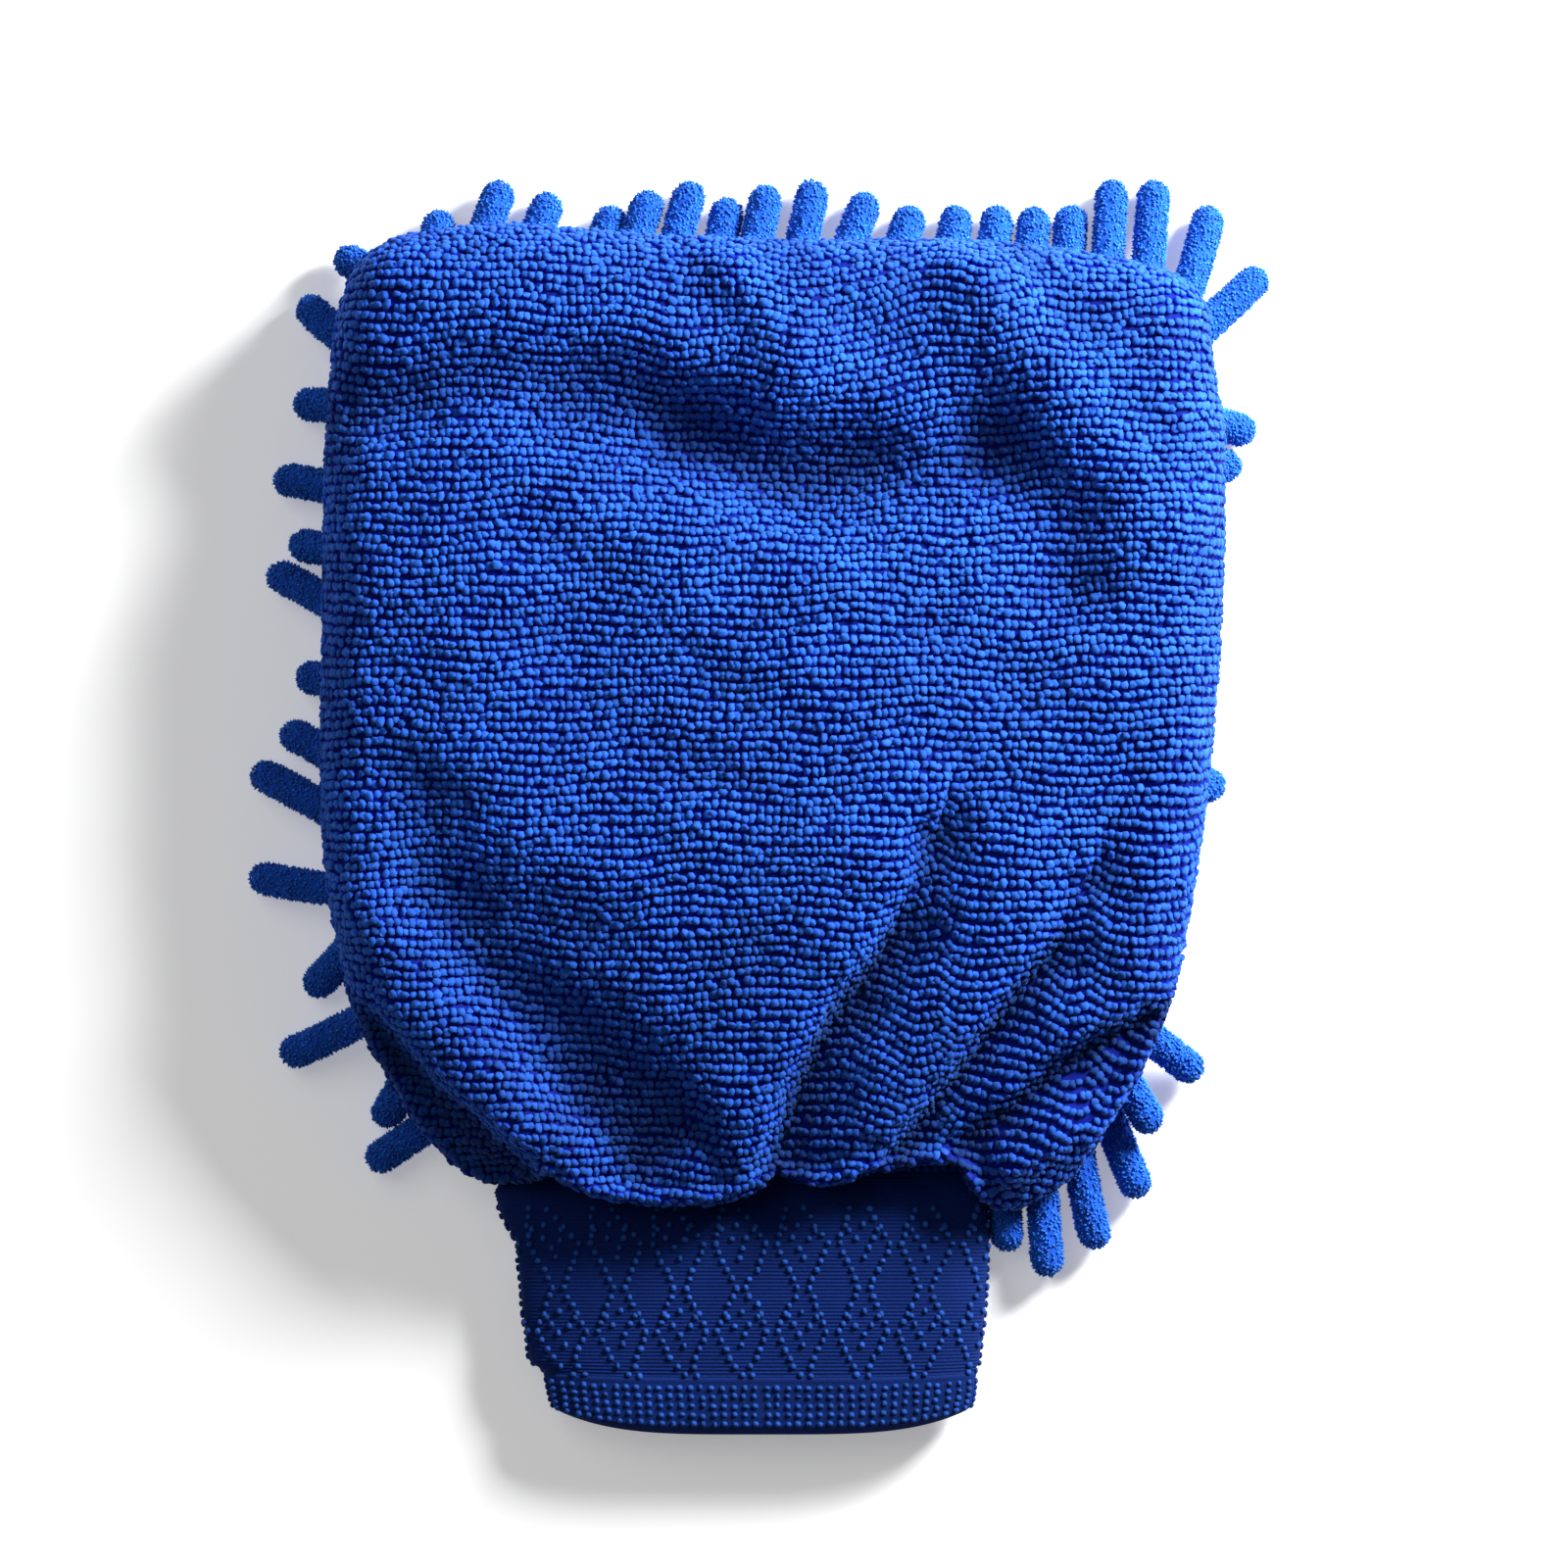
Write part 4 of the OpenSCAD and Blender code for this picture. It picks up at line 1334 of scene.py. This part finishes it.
@dataclass
class Cuff:
    """The knitted cuff: two plies with elastic between them, a dotted hem and the stitched pattern.

    Attributes:
        sleeve: The tube that everything lies on.
        pairs: Pairs of zigzag lines round the cuff.
        wave_mm: Length of a zigzag.
        swing_mm: How much the gap of a pair changes to either side of its mean.
        dot_mm: Distance between the dots of a line.
        rib_mm: Pitch of the fine ribs across the cuff.
        first_pair: Where round the cuff the first pair stands.
        narrow_y: Where along the cuff the lines of a pair come closest.
        pattern_knot: Half of a pattern knot's size round the cuff, along it and out of it.
        hem_knot: The same for a knot of the hem.
        hem_columns: Knots in a course of the hem.
        hem_rows: Where the hem's courses of knots lie.
        elastic_rows: Rings of elastic.
        elastic_start: How far up from the hem band's start the first ring lies.
        elastic_pitch: Distance between the rings.
    """

    sleeve: Sleeve = field(default_factory=Sleeve)
    pairs: int = 16
    wave_mm: float = 17.8
    swing_mm: float = 3.8
    dot_mm: float = 1.8
    rib_mm: float = 0.75
    first_pair: float = 10.1
    narrow_y: float = -98.4
    pattern_knot: tuple[float, float, float] = (0.66, 0.72, 0.62)
    hem_knot: tuple[float, float, float] = (0.66, 0.62, 0.55)
    hem_columns: int = 84
    hem_rows: tuple[float, ...] = (-118.9, -120.75, -122.6, -124.45, -126.3)
    elastic_rows: int = 7
    elastic_start: float = 3.9
    elastic_pitch: float = 4.4

    def tube(self, rows: Array, insets: Array, around: int) -> Shape:
        """A tube over rows of the sleeve, its outer side outwards.

        Args:
            rows: Where along the sleeve each ring of points lies.
            insets: How far inside the outer ply's surface each ring lies.
            around: Points in a ring.

        Returns:
            The tube.
        """
        u = self.sleeve.girth * np.arange(around) / around
        grid = self.sleeve.place(u[None], rows[:, None], insets[:, None])
        return Shape(grid.reshape(-1, 3), [grid_faces(len(rows), around, ring=True)])

    def outer(self) -> Shape:
        """The outer ply with its fine ribs, each rib a wave of 0.1 mm."""
        rows = np.arange(-117.4, -73.0, self.rib_mm / 4)
        return self.tube(rows, 0.1 * np.cos(2 * np.pi * rows / self.rib_mm), 300)

    def inner(self) -> Shape:
        """The inner ply, which faces the hand.

        Returns:
            The ply, its faces turned inwards.
        """
        rows = np.arange(-117.4, -73.6, 0.6)
        shape = self.tube(rows, 2.85 + 0.06 * np.sin(rows * 4.2), 180)
        shape.faces = [shape.faces[0][:, ::-1]]
        return shape

    def hem(self) -> Shape:
        """The hem band: over the outer ply's end, round the mouth and back up inside.

        Returns:
            The band as a single surface.
        """
        profile = spline(
            [(-116.2, 0.35), (-116.9, -0.12), (-118, -0.22), (-122, -0.22), (-126.4, -0.2), (-127.8, 0.25),
             (-128.55, 1.2), (-127.9, 2.3), (-126.4, 2.85), (-120, 3.0), (-116.4, 2.9)], 6)
        profile[:, 1] += 0.06 * np.cos(2 * np.pi * profile[:, 0] / 1.85)
        return self.tube(profile[::-1, 0], profile[::-1, 1], 300)

    def lines(self) -> tuple[Array, Array]:
        """Places of the pattern's knots: pairs of zigzag lines, and a small group in each wide gap.

        Returns:
            The places round the cuff, and those along it.
        """
        y = np.arange(-116.4, -80.5, self.dot_mm)
        angle = 2 * np.pi * (y - self.narrow_y) / self.wave_mm
        zigzag = np.arcsin(0.985 * np.cos(angle)) / np.arcsin(0.985)
        pitch = self.sleeve.girth / self.pairs
        half_gap = 0.5 * (0.5 * pitch - self.swing_mm * zigzag)
        centre = self.first_pair + pitch * np.arange(self.pairs)
        u = np.stack([centre[:, None] - half_gap, centre[:, None] + half_gap])
        groups = np.array([
            [-0.2, 4.0], [-1.9, 1.3], [1.6, 1.1], [-0.6, -0.6], [2.9, 2.9], [0.2, -2.8], [-2.9, 3.1],
        ])
        mirror = np.where(np.arange(self.pairs) % 2, -1.0, 1.0)[:, None, None]
        rows = np.array([self.narrow_y + 0.5 * self.wave_mm, self.narrow_y - 0.5 * self.wave_mm])
        group_u = centre[:, None, None] + groups[:, 0] * mirror + 0 * rows[None, :, None]
        group_y = rows[None, :, None] + groups[:, 1] + 0 * centre[:, None, None]
        all_u = np.concatenate([u.ravel(), group_u.ravel()])
        all_y = np.concatenate([np.broadcast_to(y, u.shape).ravel(), group_y.ravel()])
        return all_u, all_y

    def dots(self, u: Array, y: Array, half: tuple[float, float, float], inset: float, seed: int) -> Shape:
        """Raised knots of yarn on the cuff at the places given.

        Args:
            u: Places round the cuff.
            y: Places along it.
            half: Half of a knot's size round the cuff, along it and out of it.
            inset: How far inside the outer ply's surface the knots are centred.
            seed: Start of the small irregularities.

        Returns:
            The knots as one shape.
        """
        rng = np.random.default_rng(seed)
        u = u + rng.normal(0, 0.13, len(u))
        y = y + rng.normal(0, 0.11, len(y))
        place, axes = self.sleeve.frame(u, y, inset)
        sizes = np.array(half) * (1 + 0.10 * rng.normal(0, 1, (len(u), 3)))
        knot = bead(8, ((-0.3, 0.85), (0.15, 1.0), (0.62, 0.74)), 0.9, -0.6)
        return stamp(knot, place, axes, sizes, 1 + 0.12 * rng.normal(0, 1, len(u)))

    def elastic(self) -> Shape:
        """Flat rings of elastic yarn between the plies.

        Returns:
            The rings as one shape.
        """
        turn = 2 * np.pi * np.arange(9) / 8
        courses = []
        for number in range(self.elastic_rows):
            y = HEM_TOP + self.elastic_start + self.elastic_pitch * number
            courses.append(self.tube(y - 0.8 * np.cos(turn), 1.4 - 0.2 * np.sin(turn), 150))
        return join_shapes(courses)

    def build(self, dyer: Dyer) -> None:
        """Makes the cuff's pieces in place of its nodes.

        Args:
            dyer: What makes the finishes.
        """
        outer = dyer.piece("cuff_outer_knit", self.outer(), Dye.KNIT)
        inner = dyer.piece("cuff_inner_knit", self.inner(), Dye.KNIT_INSIDE)
        for cloth, node in ((outer, "cuff_outer_ply"), (inner, "cuff_inner_ply")):
            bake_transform(cloth)
            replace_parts(cloth, node)
        pattern = self.dots(*self.lines(), self.pattern_knot, -0.1, 3)
        knots = dyer.piece("cuff_pattern_knots", pattern, Dye.KNIT_DOTS)
        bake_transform(knots)
        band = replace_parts(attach(dyer.piece("cuff_hem", self.hem(), Dye.HEM), "cuff"), "cuff_hem_band")
        u = self.sleeve.girth * (np.arange(self.hem_columns) + 0.5) / self.hem_columns
        grid_u, grid_y = (a.ravel() for a in np.meshgrid(u, np.array(self.hem_rows)))
        courses = self.dots(grid_u, grid_y, self.hem_knot, -0.25, 4)
        hem_knots = dyer.piece("cuff_hem_knots", courses, Dye.HEM_DOTS)
        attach(hem_knots, "cuff")
        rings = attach(dyer.piece("cuff_elastic_rings", self.elastic(), Dye.ELASTIC), "cuff")
        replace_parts(rings, "cuff_elastic")


# ---------------------------------------------------------------- the seams


@dataclass
class Seams:
    """The overlocked ring at the wrist and the folded seam allowance round the pocket.

    Attributes:
        wraps: Wraps of thread round the wrist ring.
        sleeve: The tube that the ring goes round.
        pocket_end: Where the seam allowance ends towards the wrist.
    """

    wraps: int = 110
    sleeve: Sleeve = field(default_factory=Sleeve)
    pocket_end: float = -47.0

    def wrist(self) -> Shape:
        """A thick rolled ring wrapped in thread: an ellipse swept round the wrist, rippled by the wraps.

        Returns:
            The ring.
        """
        turn = 2 * np.pi * np.arange(11) / 10
        around = self.wraps * 6
        u = self.sleeve.girth * np.arange(around) / around
        ripple = 1 + 0.13 * np.cos(2 * np.pi * self.wraps * u / self.sleeve.girth)
        y = -74.0 + 1.5 * np.cos(turn)[:, None] * ripple[None]
        inset = 1.25 - 1.35 * np.sin(turn)[:, None] * ripple[None]
        grid = self.sleeve.place(u[None], y, inset)
        return Shape(grid.reshape(-1, 3), [grid_faces(len(turn), around, ring=True)[:, ::-1]])

    def pocket(self, surface: FaceSurface) -> Shape:
        """The seam allowance: a flat folded strip along the outline on the three closed sides.

        Args:
            surface: The face, whose outline the strip follows.

        Returns:
            The strip, closed at both ends.
        """
        loop = even_steps(surface.loop, 1.2, closed=True)[0]
        start = int(np.argmax((loop[:, 1] > self.pocket_end) & (loop[:, 0] < 0)))
        loop = np.roll(loop, -start, 0)
        path = loop[loop[:, 1] > self.pocket_end]
        tangent = unit(np.gradient(path, axis=0))
        inward = np.stack([tangent[:, 1], -tangent[:, 0]], 1)
        turn = 2 * np.pi * np.arange(12) / 12
        across = 3.4 + 1.9 * signed_power(np.cos(turn), 0.6)
        tall = 14.85 + 0.5 * signed_power(np.sin(turn), 0.6)
        plan = path[:, None, :] + inward[:, None, :] * across[None, :, None]
        z = tall[None] + 0.06 * np.sin(np.arange(len(path)) * 1.9)[:, None]
        grid = np.concatenate([plan, z[..., None]], -1)
        ends = np.concatenate([grid[0].mean(0)[None], grid[-1].mean(0)[None]])
        count, sides = len(path), len(turn)
        i = np.arange(sides)
        k = (i + 1) % sides
        low = np.stack([k, i, np.full(sides, count * sides)], 1)
        last = (count - 1) * sides
        high = np.stack([last + i, last + k, np.full(sides, count * sides + 1)], 1)
        faces = [grid_faces(count, sides, ring=True), np.vstack([low, high])]
        return Shape(np.vstack([grid.reshape(-1, 3), ends]), faces)

    def build(self, dyer: Dyer, surface: FaceSurface) -> None:
        """Makes both seams in place of their nodes.

        Args:
            dyer: What makes the finishes.
            surface: The face, whose outline the seam allowance follows.
        """
        ring = dyer.piece("wrist_overlock", self.wrist(), Dye.SEAM)
        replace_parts(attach(ring, "mitt"), "wrist_seam")
        strip = dyer.piece("pocket_seam_allowance", self.pocket(surface), Dye.SEAM)
        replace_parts(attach(strip, "mitt"), "pocket_seam")


# ---------------------------------------------------------------- the studio


@dataclass(frozen=True)
class Lamp:
    """A soft area light that points at the mitt.

    Attributes:
        name: Its name.
        place: Where it hangs, in metres.
        size: Its side, in metres.
        power: Its power in watts.
    """

    name: str
    place: tuple[float, float, float]
    size: float
    power: float

    def hang(self) -> None:
        """Makes the light."""
        data = bpy.data.lights.new(self.name, "AREA")
        data.shape, data.size, data.energy = "SQUARE", self.size, self.power
        lamp = bpy.data.objects.new(self.name, data)
        lamp.location = self.place
        way = Vector((0.0, -0.01, 0.01)) - Vector(self.place)
        lamp.rotation_euler = way.to_track_quat("-Z", "Y").to_euler()
        bpy.context.scene.collection.objects.link(lamp)


@dataclass(frozen=True)
class Studio:
    """The pale light table, the lights and the camera straight above.

    Attributes:
        view_m: How wide a square the camera sees at the mitt.
        centre: The middle of that square.
        camera_z: How high the camera is.
        view_z: The height at which that square is seen.
        floor_z: Height of the table's top, just below the lowest knots of the cuff.
        ambient: Strength of the even light from all round.
        glow: Strength of the light table's own light.
        lamps: The lights.
    """

    view_m: float = 0.320
    centre: Point = (0.005, 0.0048)
    camera_z: float = 2.0
    view_z: float = 0.018
    floor_z: float = -0.0009
    ambient: float = 0.09
    glow: float = 0.32
    lamps: tuple[Lamp, ...] = (
        Lamp("key", (0.48, 0.40, 0.29), 0.24, 16.6),
        Lamp("fill", (-0.9, 0.7, 1.5), 1.4, 7.0),
    )

    def floor(self) -> None:
        """The top of the pale light table, just below the mitt."""
        mesh = bpy.data.meshes.new("floor")
        half, z = 2.5, self.floor_z
        points = [(-half, -half, z), (half, -half, z), (half, half, z), (-half, half, z)]
        mesh.from_pydata(points, [], [(0, 1, 2, 3)])
        paper = bpy.data.materials.new("paper")
        paper.use_nodes = True
        surface = paper.node_tree.nodes["Principled BSDF"]
        surface.inputs["Base Color"].default_value = (0.93, 0.93, 0.93, 1.0)
        surface.inputs["Roughness"].default_value = 0.9
        surface.inputs["Specular IOR Level"].default_value = 0.1
        surface.inputs["Emission Color"].default_value = (1.0, 1.0, 1.0, 1.0)
        surface.inputs["Emission Strength"].default_value = self.glow
        mesh.materials.append(paper)
        floor = bpy.data.objects.new("floor", mesh)
        bpy.context.scene.collection.objects.link(floor)

    def build(self) -> None:
        """Makes the floor, the world, the lights and the camera."""
        self.floor()
        world = bpy.data.worlds.new("studio")
        bpy.context.scene.world = world
        world.use_nodes = True
        world.node_tree.nodes["Background"].inputs["Color"].default_value = (1.0, 1.0, 1.0, 1.0)
        world.node_tree.nodes["Background"].inputs["Strength"].default_value = self.ambient
        for lamp in self.lamps:
            lamp.hang()
        data = bpy.data.cameras.new("camera")
        data.lens = data.sensor_width * (self.camera_z - self.view_z) / self.view_m
        data.clip_start, data.clip_end = 0.1, 20.0
        camera = bpy.data.objects.new("camera", data)
        camera.location = (*self.centre, self.camera_z)
        bpy.context.scene.collection.objects.link(camera)
        bpy.context.scene.camera = camera
        bpy.context.scene.view_settings.view_transform = "Standard"


def main() -> None:
    """Builds the studio, then the mitt's pieces round the frame."""
    logging.basicConfig(level=logging.INFO, format="%(name)s: %(message)s")
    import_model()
    Studio().build()
    dyer = Dyer()
    face = TerryFace()
    palm = PalmCloth(
        "chenille_palm", "chenille_mesh", Dye.MESH, inset=0.0, lift=0.0, low=-74.2, high=117.2, wall=1.0
    )
    palm.build(dyer, (0.19, 0.20), True, ["chenille_row_06_pile"])
    lining = PalmCloth(
        "pocket_lining_cloth", "palm_lining", Dye.LINING, inset=6.0, lift=0.6, low=-62.0, high=111.0, wall=0.5
    )
    lining.build(dyer, (0.17, 0.18), False, ["chenille_palm"])
    face.build(dyer)
    for node, axes in RIMS.items():
        Noodles(node, np.array(axes, float)).build(dyer)
    rows = {f"chenille_row_{number:02d}": palm_row(number) for number in range(1, 12)}
    rows["chenille_row_wrist"] = wrist_row()
    for node, axes in rows.items():
        Noodles(node, axes, sides=12, rings=14, tufts=330, tape=True).build(dyer)
    Cuff().build(dyer)
    Seams().build(dyer, face.surface)


if __name__ == "__main__":
    main()
